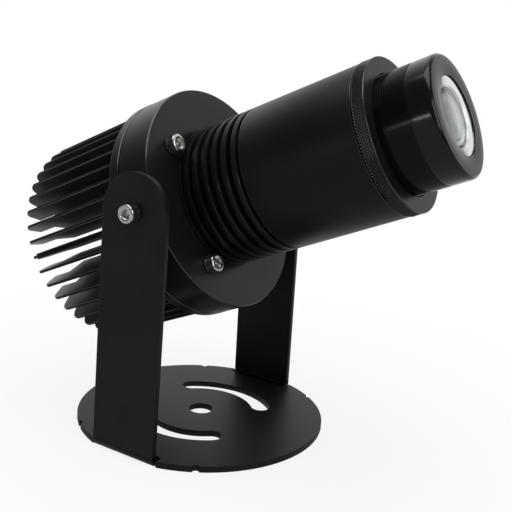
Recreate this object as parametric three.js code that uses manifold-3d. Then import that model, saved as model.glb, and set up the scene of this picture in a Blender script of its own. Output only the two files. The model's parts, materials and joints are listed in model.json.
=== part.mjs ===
// Gobo projector: a small LED pattern projector that tilts in a bent sheet-metal yoke.
// Millimetres, +Z up. The origin is the centre of the round base, on its underside.
// The lamp head points along +X, tilted up, and turns about the Y direction at the pivot.

import * as THREE from 'three';
import { mergeVertices } from 'three/addons/utils/BufferGeometryUtils.js';
import Module from 'manifold-3d';

const wasm = await Module();
wasm.setup();

const degrees = THREE.MathUtils.degToRad;
const fullTurn = 2 * Math.PI;
const halfTurn = Math.PI;
const quarterTurn = Math.PI / 2;

// Clearances and cutting
const seatGap = 0.3;
const cutOverrun = 2;

// Yoke: one bent sheet, a round base and two arms, as wide as the housing between them asks
const sheetThickness = 3;
const armWidth = 35.7;
const armGapToHousing = 1.8277;
const baseRimMargin = 1.3;
const armLean = degrees(1.4);
const bendInnerRadius = 0.3;
const pivotHeight = 113.4;
const centreHoleRadius = 6.1;
const slotPathRadius = 32.1;
const slotWidth = 9.7;
const slotSweep = degrees(90.5);
const rimNotchRadius = 1.6;
const rimNotchAngle = degrees(56);
const bendReliefWidth = 1;
const bendReliefDepth = 2;

// Lamp head: its screws and fins sit turned a little about its own axis
const headTilt = degrees(23.4);
const patternTurn = degrees(-3.4);

// M5 socket cap screws: two carry the head, four hold the housing
const capScrewRadius = 2.5;
const capScrewHeadRadius = 4.25;
const capScrewHeadHeight = 5;
const capScrewSocketWidth = 4;
const capScrewSocketDepth = 2.5;
const tiltScrewReach = 14;
const tiltSpacerRadius = 6.5;
const housingScrewCount = 4;
const housingScrewCircle = 40.5;
const housingScrewReach = 4.5;

// Housing: a thick turned ring with a flat front; places along the head are measured from the pivot
const housingRadius = 54.6;
const housingFront = 7.4;
const housingLength = 17.4;
const housingBoreRadius = 30;
const housingFrontWall = 6;
const housingCavityRadius = 36;
const housingEdgeChamfer = 0.6;
const housingStepDepth = 1.1;
const housingStepLength = 1.4;
const spotFaceDepth = 0.5;

// Heat sink: a round flange with radial fins round an open core
const flangeLip = 0.2;
const flangeThickness = 6;
const flangeChamfer = 0.7;
const finCount = 42;
const finThickness = 1.4;
const finLength = 64.5;
const finSetIn = 2.4;
const finInnerRadius = 31;
const finCornerRadius = 9;
const finTipWidth = 10.7;
const recessDepth = 12;
const recessSlope = 1.4;
const finRoot = 1;
const thickFinWidth = 2.9;
const thickFinSetback = 2.4;
const thickFinCount = 2;

// Light source
const thermalPadThickness = 0.5;
const ledBoardWidth = 28;
const ledBoardThickness = 1.6;
const emitterRadius = 9.5;
const emitterThickness = 0.6;
const ledHolderRadius = 22;
const ledHolderThickness = 4.7;
const ledHolderApertureRadius = 10.5;
const holderScrewRadius = 1.5;
const holderScrewHeadRadius = 2.75;
const holderScrewHeadHeight = 1.8;
const holderScrewSlotWidth = 0.8;
const holderScrewSlotDepth = 0.8;
const holderScrewCircle = 18;
const holderScrewReach = 3.5;
const leadRadius = 0.8;
const leadSpacing = 3;
const leadBendRadius = 3.2;
const leadOverlapOnBoard = 1.5;

// Condenser: a cell clamped between heat sink and housing, with two lenses
const cellFlangeThickness = 2;
const cellRimThickness = 2.5;
const cellTubeRadius = 25.5;
const cellLensBoreRadius = 20;
const cellShoulderRadius = 13;
const cellShoulderThickness = 1;
const cellShoulderFromPivot = 2;
const cellFront = 6.2;
const condenserEdge = 1;
const condenserSag = 2;
const condenserLensSpread = 6.7;
const condenserSpacerWall = 1.5;
const condenserRingLength = 0.9;
const condenserRingWall = 2.2;

// Main tube: spigot, ribbed neck and smooth barrel in one turned piece
const tubeRadius = 34.2;
const tubeFront = 98;
const spigotRadius = 29.7;
const spigotBoreRadius = 26;
const spigotRear = 2.5;
const sealWireRadius = 0.8;
const sealGrooveInset = 0.7;
const neckCollarLength = 1.3;
const neckGrooveRadius = 29;
const neckBoreRadius = 23;
const ribCount = 6;
const ribPitch = 5.5;
const ribWidth = 2.6;
const firstRib = 10.5;
const lastGrooveWidth = 1.7;
const goboShoulder = 10.5;
const chamberRadius = 30;
const chamberRear = 46;
const threadLandLength = 18;
const tubeEdgeChamfer = 0.5;

// Gobo: holder, pattern disc and retaining clip inside the neck
const goboHolderThickness = 3.4;
const goboHolderLip = 1.2;
const goboApertureRadius = 14;
const goboRadius = 18.75;
const goboThickness = 1.1;
const goboHoleRadius = 2.6;
const goboHoleCircle = 8.6;
const goboHoleCount = 6;
const goboClipThickness = 0.6;
const goboClipWidth = 1.8;
const goboClipGap = degrees(24);

// Focus: knurled lock ring on the tube's mouth, threaded barrel through it
const lockRingRadius = 34.5;
const lockRingLength = 5.9;
const lockRingClearance = 0.5;
const lockRingChamfer = 0.5;
const barrelRadius = 26.7;
const barrelBoreRadius = 23;
const barrelRear = 78;
const barrelFront = 128.8;
const barrelFrontWall = 1.2;
const barrelApertureRadius = 17.3;
const barrelChamferLength = 1.3;
const barrelChamferDepth = 1.1;
const frontLensEdge = 4.9;
const frontLensSag = 1.7;
const frontLensSetback = 0.65;
const objectiveSpacerLength = 18.9;
const objectiveSpacerWall = 2;
const rearLensEdge = 4;
const rearLensSag = 3;
const objectiveRingLength = 2.4;
const objectiveRingWall = 3;

// Cable gland in the heat sink's core
const glandOffset = 21.8;
const glandStubRadius = 5.7;
const glandStubLength = 5.5;
const glandHexWidth = 15;
const glandHexThickness = 4.5;
const glandThreadRadius = 5.6;
const glandThreadLength = 8;
const glandBoreRadius = 4;
const glandSealThickness = 3;
const glandSealRadius = 5.2;
const glandNutWall = 1.6;

// Smoothness: sides of a full circle
const largeSides = 60;
const tubeSides = 36;
const mediumSides = 30;
const smallSides = 18;
const screwSides = 12;
const wireSides = 8;
const roundSteps = 8;
const bendSteps = 3;
const cornerSteps = 3;
const domeSteps = 4;
const leadSteps = 5;

// Sizes across the head and the yoke that follow from the housing
const armReach = housingRadius + armGapToHousing + sheetThickness / Math.cos(armLean)
  + pivotHeight * Math.tan(armLean);
const baseRadius = armReach + baseRimMargin;
const flangeRadius = housingRadius + flangeLip;
const finOuterRadius = flangeRadius - finSetIn;
const recessRadius = finOuterRadius - finTipWidth;

// Places along the head that follow from the sizes above
const housingRear = housingFront - housingLength;
const flangeFront = housingRear - seatGap;
const flangeRear = flangeFront - flangeThickness;
const finRear = flangeRear - finLength;
const cellRear = flangeFront + seatGap;
const ledBoardRear = flangeFront + thermalPadThickness + 2 * seatGap;
const ledBoardFront = ledBoardRear + ledBoardThickness;
const ledHolderFront = cellRear + ledHolderThickness;
const cellRimFront = housingFront - housingFrontWall - seatGap;
const cellRimRadius = housingCavityRadius - seatGap;
const cellBoreRadius = ledHolderRadius + seatGap;
const collarRear = housingFront + seatGap;
const tubeRear = firstRib + (ribCount - 1) * ribPitch + ribWidth + lastGrooveWidth;
const lockRingRear = tubeFront + seatGap;
const lockRingFront = lockRingRear + lockRingLength;
const screwHoleRadius = capScrewRadius + seatGap;
const glandRadialPlace = -glandOffset;

// Materials
function finish(color, roughness, metalness) {
  return new THREE.MeshStandardMaterial({ color, roughness, metalness });
}

const finishes = {
  coatedSheet: () => finish(0x1d1d1f, 0.55, 0.3),
  anodised: () => finish(0x18181a, 0.38, 0.7),
  castFins: () => finish(0x151516, 0.5, 0.6),
  stainless: () => finish(0xc9c9c6, 0.25, 1),
  glass: () => finish(0xe4ecef, 0.05, 0),
  whitePlastic: () => finish(0xf0efe9, 0.5, 0),
  blackPlastic: () => finish(0x202022, 0.6, 0),
  rubber: () => finish(0x111111, 0.9, 0),
  boardMetal: () => finish(0xd8d9d6, 0.4, 0.8),
  phosphor: () => finish(0xf2cf2e, 0.6, 0),
  padGrey: () => finish(0x8f9499, 0.8, 0),
  redLead: () => finish(0xb81f1a, 0.5, 0),
  blackLead: () => finish(0x1a1a1a, 0.5, 0),
};

// Keep positions only, join shared corners, drop triangles without area, and face outwards
function closed(source) {
  const bare = source.index ? source.toNonIndexed() : source.clone();
  bare.deleteAttribute('normal');
  bare.deleteAttribute('uv');
  const joined = mergeVertices(bare);
  const corners = joined.getAttribute('position');
  const kept = [];
  let volume = 0;
  const a = new THREE.Vector3();
  const b = new THREE.Vector3();
  const c = new THREE.Vector3();
  for (let i = 0; i < joined.index.count; i += 3) {
    const triangle = [joined.index.getX(i), joined.index.getX(i + 1), joined.index.getX(i + 2)];
    if (new Set(triangle).size < 3) continue;
    a.fromBufferAttribute(corners, triangle[0]);
    b.fromBufferAttribute(corners, triangle[1]);
    c.fromBufferAttribute(corners, triangle[2]);
    volume += a.dot(b.cross(c));
    kept.push(triangle);
  }
  const facing = volume < 0 ? kept.map(([first, second, third]) => [first, third, second]) : kept;
  joined.setIndex(facing.flat());
  return joined;
}

function solid(geometry) {
  const body = closed(geometry);
  return new wasm.Manifold(new wasm.Mesh({
    numProp: 3,
    vertProperties: Float32Array.from(body.getAttribute('position').array),
    triVerts: Uint32Array.from(body.index.array),
  }));
}

function geometryOf(manifold) {
  const mesh = manifold.getMesh();
  const geometry = new THREE.BufferGeometry();
  geometry.setAttribute('position', new THREE.BufferAttribute(Float32Array.from(mesh.vertProperties), 3));
  geometry.setIndex(new THREE.BufferAttribute(Uint32Array.from(mesh.triVerts), 1));
  return geometry;
}

function piece(name, geometry, material) {
  const body = closed(geometry);
  body.computeVertexNormals();
  const mesh = new THREE.Mesh(body, material);
  mesh.name = name;
  return mesh;
}

// A turned shape about the X axis; the profile lists [place along X, radius]
function turned(profile, sides) {
  const points = profile.map(([along, radius]) => new THREE.Vector2(radius, along));
  return new THREE.LatheGeometry(points, sides).rotateZ(-quarterTurn);
}

function ring(rear, front, inner, outer, sides) {
  return turned([[rear, inner], [rear, outer], [front, outer], [front, inner], [rear, inner]], sides);
}

function disc(rear, front, radius, sides) {
  return turned([[rear, 0], [rear, radius], [front, radius], [front, 0]], sides);
}

// A flat-sided bar along the X axis, its section drawn in the YZ plane
function barAlongX(shape, rear, front, sides) {
  const depth = front - rear;
  const bar = new THREE.ExtrudeGeometry(shape, { depth, bevelEnabled: false, curveSegments: sides });
  const toAxis = new THREE.Matrix4().makeBasis(
    new THREE.Vector3(0, 1, 0),
    new THREE.Vector3(0, 0, 1),
    new THREE.Vector3(1, 0, 0),
  );
  return bar.applyMatrix4(toAxis).translate(rear, 0, 0);
}

function rectangle(width, height) {
  const shape = new THREE.Shape();
  shape.moveTo(-width / 2, -height / 2);
  shape.lineTo(width / 2, -height / 2);
  shape.lineTo(width / 2, height / 2);
  shape.lineTo(-width / 2, height / 2);
  shape.closePath();
  return shape;
}

function hexagon(acrossFlats) {
  const shape = new THREE.Shape();
  const cornerRadius = acrossFlats / 2 / Math.cos(halfTurn / 6);
  for (let corner = 0; corner < 6; corner += 1) {
    const angle = (corner / 6) * fullTurn;
    const place = [cornerRadius * Math.cos(angle), cornerRadius * Math.sin(angle)];
    if (corner === 0) shape.moveTo(...place);
    else shape.lineTo(...place);
  }
  shape.closePath();
  return shape;
}

// A socket cap screw along X: its head stands in front of the seat, its shank reaches behind
function capScrew(seat, reach) {
  const headFront = seat + capScrewHeadHeight;
  const blank = turned([
    [seat - reach, 0],
    [seat - reach, capScrewRadius],
    [seat, capScrewRadius],
    [seat, capScrewHeadRadius],
    [headFront, capScrewHeadRadius],
    [headFront, 0],
  ], screwSides);
  const socketShape = hexagon(capScrewSocketWidth);
  const socket = barAlongX(socketShape, headFront - capScrewSocketDepth, headFront + cutOverrun);
  return geometryOf(solid(blank).subtract(solid(socket)));
}

// Yoke
function yokeDisc(bendStart) {
  const outline = new THREE.Shape();
  for (let quarter = 0; quarter < 4; quarter += 1) {
    outline.absarc(0, 0, baseRadius, quarter * quarterTurn, (quarter + 1) * quarterTurn, false);
  }
  const centreHole = new THREE.Path();
  centreHole.absarc(0, 0, centreHoleRadius, 0, fullTurn);
  outline.holes.push(centreHole);
  for (const middle of [quarterTurn, -quarterTurn]) {
    const from = middle - slotSweep / 2;
    const to = middle + slotSweep / 2;
    const halfWidth = slotWidth / 2;
    const firstEnd = [slotPathRadius * Math.cos(from), slotPathRadius * Math.sin(from)];
    const lastEnd = [slotPathRadius * Math.cos(to), slotPathRadius * Math.sin(to)];
    const slot = new THREE.Path();
    slot.absarc(0, 0, slotPathRadius + halfWidth, from, to, false);
    slot.absarc(...lastEnd, halfWidth, to, to + halfTurn, false);
    slot.absarc(0, 0, slotPathRadius - halfWidth, to, from, true);
    slot.absarc(...firstEnd, halfWidth, from + halfTurn, from + fullTurn, false);
    outline.holes.push(slot);
  }
  let plate = solid(new THREE.ExtrudeGeometry(outline, {
    depth: sheetThickness,
    bevelEnabled: false,
    curveSegments: roundSteps,
  }));
  const cutDepth = sheetThickness + 2 * cutOverrun;
  const cut = (shape, sides) => solid(new THREE.ExtrudeGeometry(shape, {
    depth: cutDepth,
    bevelEnabled: false,
    curveSegments: sides,
  }).translate(0, 0, -cutOverrun));
  for (const side of [1, -1]) {
    const beyondBend = new THREE.Shape();
    const inner = side * bendStart;
    const outer = side * (baseRadius + cutOverrun);
    beyondBend.moveTo(-armWidth / 2, inner);
    beyondBend.lineTo(armWidth / 2, inner);
    beyondBend.lineTo(armWidth / 2, outer);
    beyondBend.lineTo(-armWidth / 2, outer);
    beyondBend.closePath();
    plate = plate.subtract(cut(beyondBend));
    for (const end of [1, -1]) {
      const relief = new THREE.Shape();
      const nearX = end * armWidth / 2;
      const farX = end * (armWidth / 2 + bendReliefWidth);
      const reliefInner = side * (bendStart - bendReliefDepth);
      relief.moveTo(nearX, reliefInner);
      relief.lineTo(farX, reliefInner);
      relief.lineTo(farX, outer);
      relief.lineTo(nearX, outer);
      relief.closePath();
      plate = plate.subtract(cut(relief));
      const notch = new THREE.Shape();
      const notchX = end * baseRadius * Math.cos(rimNotchAngle);
      const notchY = side * baseRadius * Math.sin(rimNotchAngle);
      notch.absarc(notchX, notchY, rimNotchRadius, 0, fullTurn);
      plate = plate.subtract(cut(notch, bendSteps));
    }
  }
  return plate;
}

function yokeArm(bendCentre, bendOuterRadius) {
  const top = pivotHeight + armWidth;
  const outwards = [Math.cos(armLean), Math.sin(armLean)];
  const upwards = [-Math.sin(armLean), Math.cos(armLean)];
  const outerFoot = outwards.map((part, i) => [bendCentre, bendOuterRadius][i] + bendOuterRadius * part);
  const innerFoot = outwards.map((part, i) => [bendCentre, bendOuterRadius][i] + bendInnerRadius * part);
  const section = new THREE.Shape();
  section.moveTo(bendCentre - bendReliefDepth, 0);
  section.lineTo(bendCentre, 0);
  section.absarc(bendCentre, bendOuterRadius, bendOuterRadius, -quarterTurn, armLean, false);
  section.lineTo(outerFoot[0] + top * upwards[0], outerFoot[1] + top * upwards[1]);
  section.lineTo(innerFoot[0] + top * upwards[0], innerFoot[1] + top * upwards[1]);
  section.lineTo(innerFoot[0], innerFoot[1]);
  section.absarc(bendCentre, bendOuterRadius, bendInnerRadius, armLean, -quarterTurn, true);
  section.lineTo(bendCentre - bendReliefDepth, sheetThickness);
  section.closePath();
  const sheet = solid(barAlongX(section, -armWidth / 2, armWidth / 2, bendSteps));

  const front = new THREE.Shape();
  front.moveTo(-armWidth / 2, -cutOverrun);
  front.lineTo(armWidth / 2, -cutOverrun);
  front.lineTo(armWidth / 2, pivotHeight);
  front.absarc(0, pivotHeight, armWidth / 2, 0, halfTurn, false);
  front.closePath();
  const pivotHole = new THREE.Path();
  pivotHole.absarc(0, pivotHeight, screwHoleRadius, 0, fullTurn);
  front.holes.push(pivotHole);
  const outline = new THREE.ExtrudeGeometry(front, {
    depth: baseRadius,
    bevelEnabled: false,
    curveSegments: roundSteps,
  }).rotateX(quarterTurn).translate(0, baseRadius, 0);
  return sheet.intersect(solid(outline));
}

function yoke() {
  const bendOuterRadius = bendInnerRadius + sheetThickness;
  const bendCentre = armReach - bendOuterRadius * (1 + Math.sin(armLean)) / Math.cos(armLean);
  const arm = geometryOf(yokeArm(bendCentre, bendOuterRadius));
  const otherArm = arm.clone().rotateZ(halfTurn);
  const body = yokeDisc(bendCentre).add(solid(arm)).add(solid(otherArm));
  return piece('yoke', geometryOf(body), finishes.coatedSheet());
}

// Tilt screws and their spacers, on the pivot line at both arms
const armOuterAtPivot = armReach - pivotHeight * Math.tan(armLean);
const armInnerAtPivot = armOuterAtPivot - sheetThickness / Math.cos(armLean);
const spotFace = housingRadius - spotFaceDepth;

function tiltHardware() {
  const parts = [];
  const seat = armOuterAtPivot + capScrewHeadRadius * Math.tan(armLean) + seatGap;
  const spacerOuter = armInnerAtPivot - tiltSpacerRadius * Math.tan(armLean) - seatGap;
  for (const [side, turn] of [['right', -quarterTurn], ['left', quarterTurn]]) {
    const screw = piece(`tilt_screw_${side}`, capScrew(seat, tiltScrewReach), finishes.stainless());
    const spacer = piece(
      `tilt_spacer_${side}`,
      ring(spotFace + seatGap, spacerOuter, screwHoleRadius, tiltSpacerRadius, smallSides),
      finishes.blackPlastic(),
    );
    for (const part of [screw, spacer]) {
      part.rotation.z = turn;
      parts.push(part);
    }
  }
  return parts;
}

// Housing
const screwAngles = [];
for (let i = 0; i < housingScrewCount; i += 1) {
  screwAngles.push(((i + 0.5) / housingScrewCount) * fullTurn - patternTurn);
}

function onCircle(geometry, radius, angle) {
  return geometry.translate(0, radius * Math.cos(angle), radius * Math.sin(angle));
}

function housing() {
  const stepRadius = housingRadius - housingStepDepth;
  const cavityFront = housingFront - housingFrontWall;
  let body = solid(turned([
    [housingRear, housingCavityRadius],
    [housingRear, stepRadius],
    [housingRear + housingStepLength, stepRadius],
    [housingRear + housingStepLength, housingRadius],
    [housingFront - housingEdgeChamfer, housingRadius],
    [housingFront, housingRadius - housingEdgeChamfer],
    [housingFront, housingBoreRadius],
    [cavityFront, housingBoreRadius],
    [cavityFront, housingCavityRadius],
    [housingRear, housingCavityRadius],
  ], largeSides));
  for (const angle of screwAngles) {
    const hole = disc(housingRear - cutOverrun, housingFront + cutOverrun, screwHoleRadius, screwSides);
    body = body.subtract(solid(onCircle(hole, housingScrewCircle, angle)));
  }
  const seat = armOuterAtPivot + capScrewHeadRadius * Math.tan(armLean) + seatGap;
  for (const turn of [quarterTurn, -quarterTurn]) {
    const spot = disc(spotFace, housingRadius + cutOverrun, tiltSpacerRadius + seatGap, smallSides);
    const bottom = seat - tiltScrewReach - seatGap;
    const hole = disc(bottom, housingRadius + cutOverrun, screwHoleRadius, screwSides);
    body = body.subtract(solid(spot.rotateZ(turn))).subtract(solid(hole.rotateZ(turn)));
  }
  return piece('housing', geometryOf(body), finishes.anodised());
}

function housingScrews() {
  const seat = housingFront + seatGap;
  const reach = seat - flangeFront + housingScrewReach;
  return screwAngles.map((angle, i) => piece(
    `housing_screw_${i + 1}`,
    onCircle(capScrew(seat, reach), housingScrewCircle, angle),
    finishes.stainless(),
  ));
}

// Heat sink
function fin(thickness, rear) {
  const cornerCentre = [rear + finCornerRadius, finOuterRadius - finCornerRadius];
  const recessEnd = finRear + recessDepth;
  const outline = new THREE.Shape();
  outline.moveTo(flangeRear + finRoot, finInnerRadius);
  outline.lineTo(flangeRear + finRoot, finOuterRadius);
  outline.lineTo(cornerCentre[0], finOuterRadius);
  outline.absarc(cornerCentre[0], cornerCentre[1], finCornerRadius, quarterTurn, halfTurn, false);
  outline.lineTo(rear, recessRadius);
  outline.lineTo(recessEnd, recessRadius);
  outline.lineTo(recessEnd + recessSlope, finInnerRadius);
  outline.closePath();
  return new THREE.ExtrudeGeometry(outline, {
    depth: thickness,
    bevelEnabled: false,
    curveSegments: cornerSteps,
  }).translate(0, 0, -thickness / 2);
}

function heatSink() {
  let body = solid(turned([
    [flangeRear, 0],
    [flangeRear, flangeRadius - flangeChamfer],
    [flangeRear + flangeChamfer, flangeRadius],
    [flangeFront - flangeChamfer, flangeRadius],
    [flangeFront, flangeRadius - flangeChamfer],
    [flangeFront, 0],
  ], largeSides));
  for (let i = 0; i < finCount; i += 1) {
    const angle = (i / finCount) * fullTurn - patternTurn;
    body = body.add(solid(fin(finThickness, finRear).rotateX(angle)));
  }
  for (let i = 0; i < thickFinCount; i += 1) {
    const angle = (i / thickFinCount) * fullTurn - patternTurn;
    body = body.add(solid(fin(thickFinWidth, finRear + thickFinSetback).rotateX(angle)));
  }
  for (const angle of screwAngles) {
    const bottom = flangeFront - housingScrewReach - seatGap;
    const hole = disc(bottom, flangeFront + cutOverrun, screwHoleRadius, screwSides);
    body = body.subtract(solid(onCircle(hole, housingScrewCircle, angle)));
  }
  for (const angle of [0, halfTurn]) {
    const radius = holderScrewRadius + seatGap;
    const bottom = flangeFront - holderScrewReach - seatGap;
    const hole = disc(bottom, flangeFront + cutOverrun, radius, screwSides);
    body = body.subtract(solid(onCircle(hole, holderScrewCircle, angle)));
  }
  const glandHoleRadius = glandStubRadius + seatGap;
  const glandHole = disc(flangeRear - cutOverrun, flangeFront + cutOverrun, glandHoleRadius, smallSides);
  body = body.subtract(solid(glandHole.translate(0, 0, glandRadialPlace)));
  return piece('heat_sink', geometryOf(body), finishes.castFins());
}

// Light source
function lightSource() {
  const padRear = flangeFront + seatGap;
  const pad = barAlongX(rectangle(ledBoardWidth, ledBoardWidth), padRear, padRear + thermalPadThickness);
  const board = barAlongX(rectangle(ledBoardWidth, ledBoardWidth), ledBoardRear, ledBoardFront);
  const emitterRear = ledBoardFront + seatGap;
  const emitter = disc(emitterRear, emitterRear + emitterThickness, emitterRadius, mediumSides);

  const pocketWidth = ledBoardWidth + 2 * seatGap;
  const pocketFront = ledBoardFront + seatGap;
  const pocket = barAlongX(rectangle(pocketWidth, pocketWidth), cellRear - cutOverrun, pocketFront);
  const leadSlotWidth = leadSpacing + 2 * leadRadius + 2 * seatGap;
  const leadSlot = barAlongX(
    rectangle(leadSlotWidth, ledHolderRadius + cutOverrun),
    cellRear - cutOverrun,
    ledHolderFront + cutOverrun,
  ).translate(0, 0, -(ledHolderRadius + cutOverrun) / 2 - ledHolderApertureRadius / 2);
  let holder = solid(ring(cellRear, ledHolderFront, ledHolderApertureRadius, ledHolderRadius, mediumSides));
  holder = holder.subtract(solid(pocket)).subtract(solid(leadSlot));
  const screws = [];
  for (const [i, angle] of [0, halfTurn].entries()) {
    const holeRadius = holderScrewRadius + seatGap;
    const hole = disc(cellRear - cutOverrun, ledHolderFront + cutOverrun, holeRadius, screwSides);
    holder = holder.subtract(solid(onCircle(hole, holderScrewCircle, angle)));
    const seat = ledHolderFront + seatGap;
    const headFront = seat + holderScrewHeadHeight;
    const blank = turned([
      [flangeFront - holderScrewReach, 0],
      [flangeFront - holderScrewReach, holderScrewRadius],
      [seat, holderScrewRadius],
      [seat, holderScrewHeadRadius],
      [headFront, holderScrewHeadRadius],
      [headFront, 0],
    ], screwSides);
    const slotBar = rectangle(holderScrewSlotWidth, 2 * holderScrewHeadRadius + cutOverrun);
    const slot = barAlongX(slotBar, headFront - holderScrewSlotDepth, headFront + cutOverrun);
    const screw = onCircle(geometryOf(solid(blank).subtract(solid(slot))), holderScrewCircle, angle);
    screws.push(piece(`led_holder_screw_${i + 1}`, screw, finishes.stainless()));
  }
  return [
    piece('thermal_pad', pad, finishes.padGrey()),
    piece('led_board', board, finishes.boardMetal()),
    piece('led_emitter', emitter, finishes.phosphor()),
    piece('led_holder', geometryOf(holder), finishes.whitePlastic()),
    ...screws,
  ];
}

// Lead wires: out of the gland, round a bend and on to the board
function lead(name, side, material) {
  const along = ledBoardFront + seatGap + leadRadius;
  const start = flangeFront - glandStubLength / 2;
  const end = -(ledBoardWidth / 2 - leadOverlapOnBoard);
  const across = side * leadSpacing / 2;
  const path = new THREE.CurvePath();
  const bendStart = new THREE.Vector3(along - leadBendRadius, across, glandRadialPlace);
  const bendEnd = new THREE.Vector3(along, across, glandRadialPlace + leadBendRadius);
  const points = [new THREE.Vector3(start, across, glandRadialPlace)];
  for (let step = 0; step <= leadSteps; step += 1) {
    const angle = (step / leadSteps) * quarterTurn;
    points.push(new THREE.Vector3(
      bendStart.x + leadBendRadius * Math.sin(angle),
      across,
      bendEnd.z - leadBendRadius * Math.cos(angle),
    ));
  }
  points.push(new THREE.Vector3(along, across, end));
  for (let i = 0; i + 1 < points.length; i += 1) path.add(new THREE.LineCurve3(points[i], points[i + 1]));
  const section = new THREE.Shape();
  section.absarc(0, 0, leadRadius, 0, fullTurn);
  const wire = new THREE.ExtrudeGeometry(section, {
    steps: 2 * leadSteps,
    bevelEnabled: false,
    curveSegments: wireSides / 2,
    extrudePath: new THREE.CatmullRomCurve3(points, false, 'centripetal'),
  });
  return piece(name, wire, material);
}

// Condenser
function dome(rear, front, radius, sag, facing, sides) {
  const profile = [];
  const flat = facing > 0 ? rear : front;
  const edge = facing > 0 ? front : rear;
  profile.push([flat, 0], [flat, radius]);
  for (let step = 0; step <= domeSteps; step += 1) {
    const share = 1 - step / domeSteps;
    profile.push([edge + facing * sag * (1 - share * share), radius * share]);
  }
  return turned(profile, sides);
}

// How far a lens's dome stands above its edge at a given radius
function domeHeight(sag, lensRadius, atRadius) {
  const share = atRadius / lensRadius;
  return sag * (1 - share * share);
}

function condenser() {
  const shoulderFront = -cellShoulderFromPivot;
  const shoulderRear = shoulderFront - cellShoulderThickness;
  const leadWindowWidth = leadSpacing + 2 * leadRadius + 4 * seatGap;
  const windowFront = ledHolderFront + seatGap;
  const cell = solid(turned([
    [cellRear, cellBoreRadius],
    [cellRear, cellRimRadius],
    [cellRimFront, cellRimRadius],
    [cellRimFront, cellRimRadius - cellRimThickness],
    [cellRear + cellFlangeThickness, cellRimRadius - cellRimThickness],
    [cellRear + cellFlangeThickness, cellTubeRadius],
    [cellFront, cellTubeRadius],
    [cellFront, cellLensBoreRadius],
    [shoulderFront, cellLensBoreRadius],
    [shoulderFront, cellShoulderRadius],
    [shoulderRear, cellShoulderRadius],
    [shoulderRear, cellBoreRadius],
    [cellRear, cellBoreRadius],
  ], tubeSides));
  const windowHeight = 2 * (glandOffset - cellBoreRadius) + 4 * leadRadius + 2 * leadBendRadius;
  const window = barAlongX(rectangle(leadWindowWidth, windowHeight), cellRear - cutOverrun, windowFront)
    .translate(0, 0, glandRadialPlace);

  const lensRadius = cellLensBoreRadius - seatGap;
  const rearFlat = shoulderFront + seatGap;
  const frontFlat = rearFlat + condenserLensSpread;
  const rearLens = dome(rearFlat, rearFlat + condenserEdge, lensRadius, condenserSag, 1, mediumSides);
  const frontLens = dome(frontFlat - condenserEdge, frontFlat, lensRadius, condenserSag, -1, mediumSides);
  const spacerInner = lensRadius - condenserSpacerWall;
  const rise = domeHeight(condenserSag, lensRadius, spacerInner) + seatGap;
  const spacer = ring(
    rearFlat + condenserEdge + rise,
    frontFlat - condenserEdge - rise,
    spacerInner,
    lensRadius,
    mediumSides,
  );
  const ringRear = frontFlat + seatGap;
  const ringFront = ringRear + condenserRingLength;
  const retainer = ring(ringRear, ringFront, lensRadius - condenserRingWall, lensRadius, mediumSides);
  return [
    piece('condenser_cell', geometryOf(cell.subtract(solid(window))), finishes.anodised()),
    piece('condenser_rear_lens', rearLens, finishes.glass()),
    piece('condenser_spacer', spacer, finishes.anodised()),
    piece('condenser_front_lens', frontLens, finishes.glass()),
    piece('condenser_retaining_ring', retainer, finishes.anodised()),
  ];
}

// Gobo
function gobo() {
  const holderRear = goboShoulder - seatGap - goboHolderThickness;
  const holderFront = goboShoulder - seatGap;
  const holderRadius = spigotBoreRadius - seatGap;
  const pocketRadius = goboRadius + seatGap;
  const holder = turned([
    [holderRear, pocketRadius],
    [holderRear, holderRadius],
    [holderFront, holderRadius],
    [holderFront, goboApertureRadius],
    [holderFront - goboHolderLip, goboApertureRadius],
    [holderFront - goboHolderLip, pocketRadius],
    [holderRear, pocketRadius],
  ], tubeSides);
  const goboFront = holderFront - goboHolderLip - seatGap;
  const goboRear = goboFront - goboThickness;
  let pattern = solid(disc(goboRear, goboFront, goboRadius, mediumSides));
  const hole = () => disc(goboRear - cutOverrun, goboFront + cutOverrun, goboHoleRadius, smallSides);
  pattern = pattern.subtract(solid(hole()));
  for (let i = 0; i < goboHoleCount; i += 1) {
    pattern = pattern.subtract(solid(onCircle(hole(), goboHoleCircle, (i / goboHoleCount) * fullTurn)));
  }
  const clipShape = new THREE.Shape();
  clipShape.absarc(0, 0, goboRadius, goboClipGap / 2, fullTurn - goboClipGap / 2, false);
  clipShape.absarc(0, 0, goboRadius - goboClipWidth, fullTurn - goboClipGap / 2, goboClipGap / 2, true);
  clipShape.closePath();
  const clipFront = goboRear - seatGap;
  const clip = barAlongX(clipShape, clipFront - goboClipThickness, clipFront, roundSteps);
  return [
    piece('gobo_holder', holder, finishes.anodised()),
    piece('gobo', geometryOf(pattern), finishes.stainless()),
    piece('gobo_clip', clip, finishes.stainless()),
  ];
}

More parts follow.
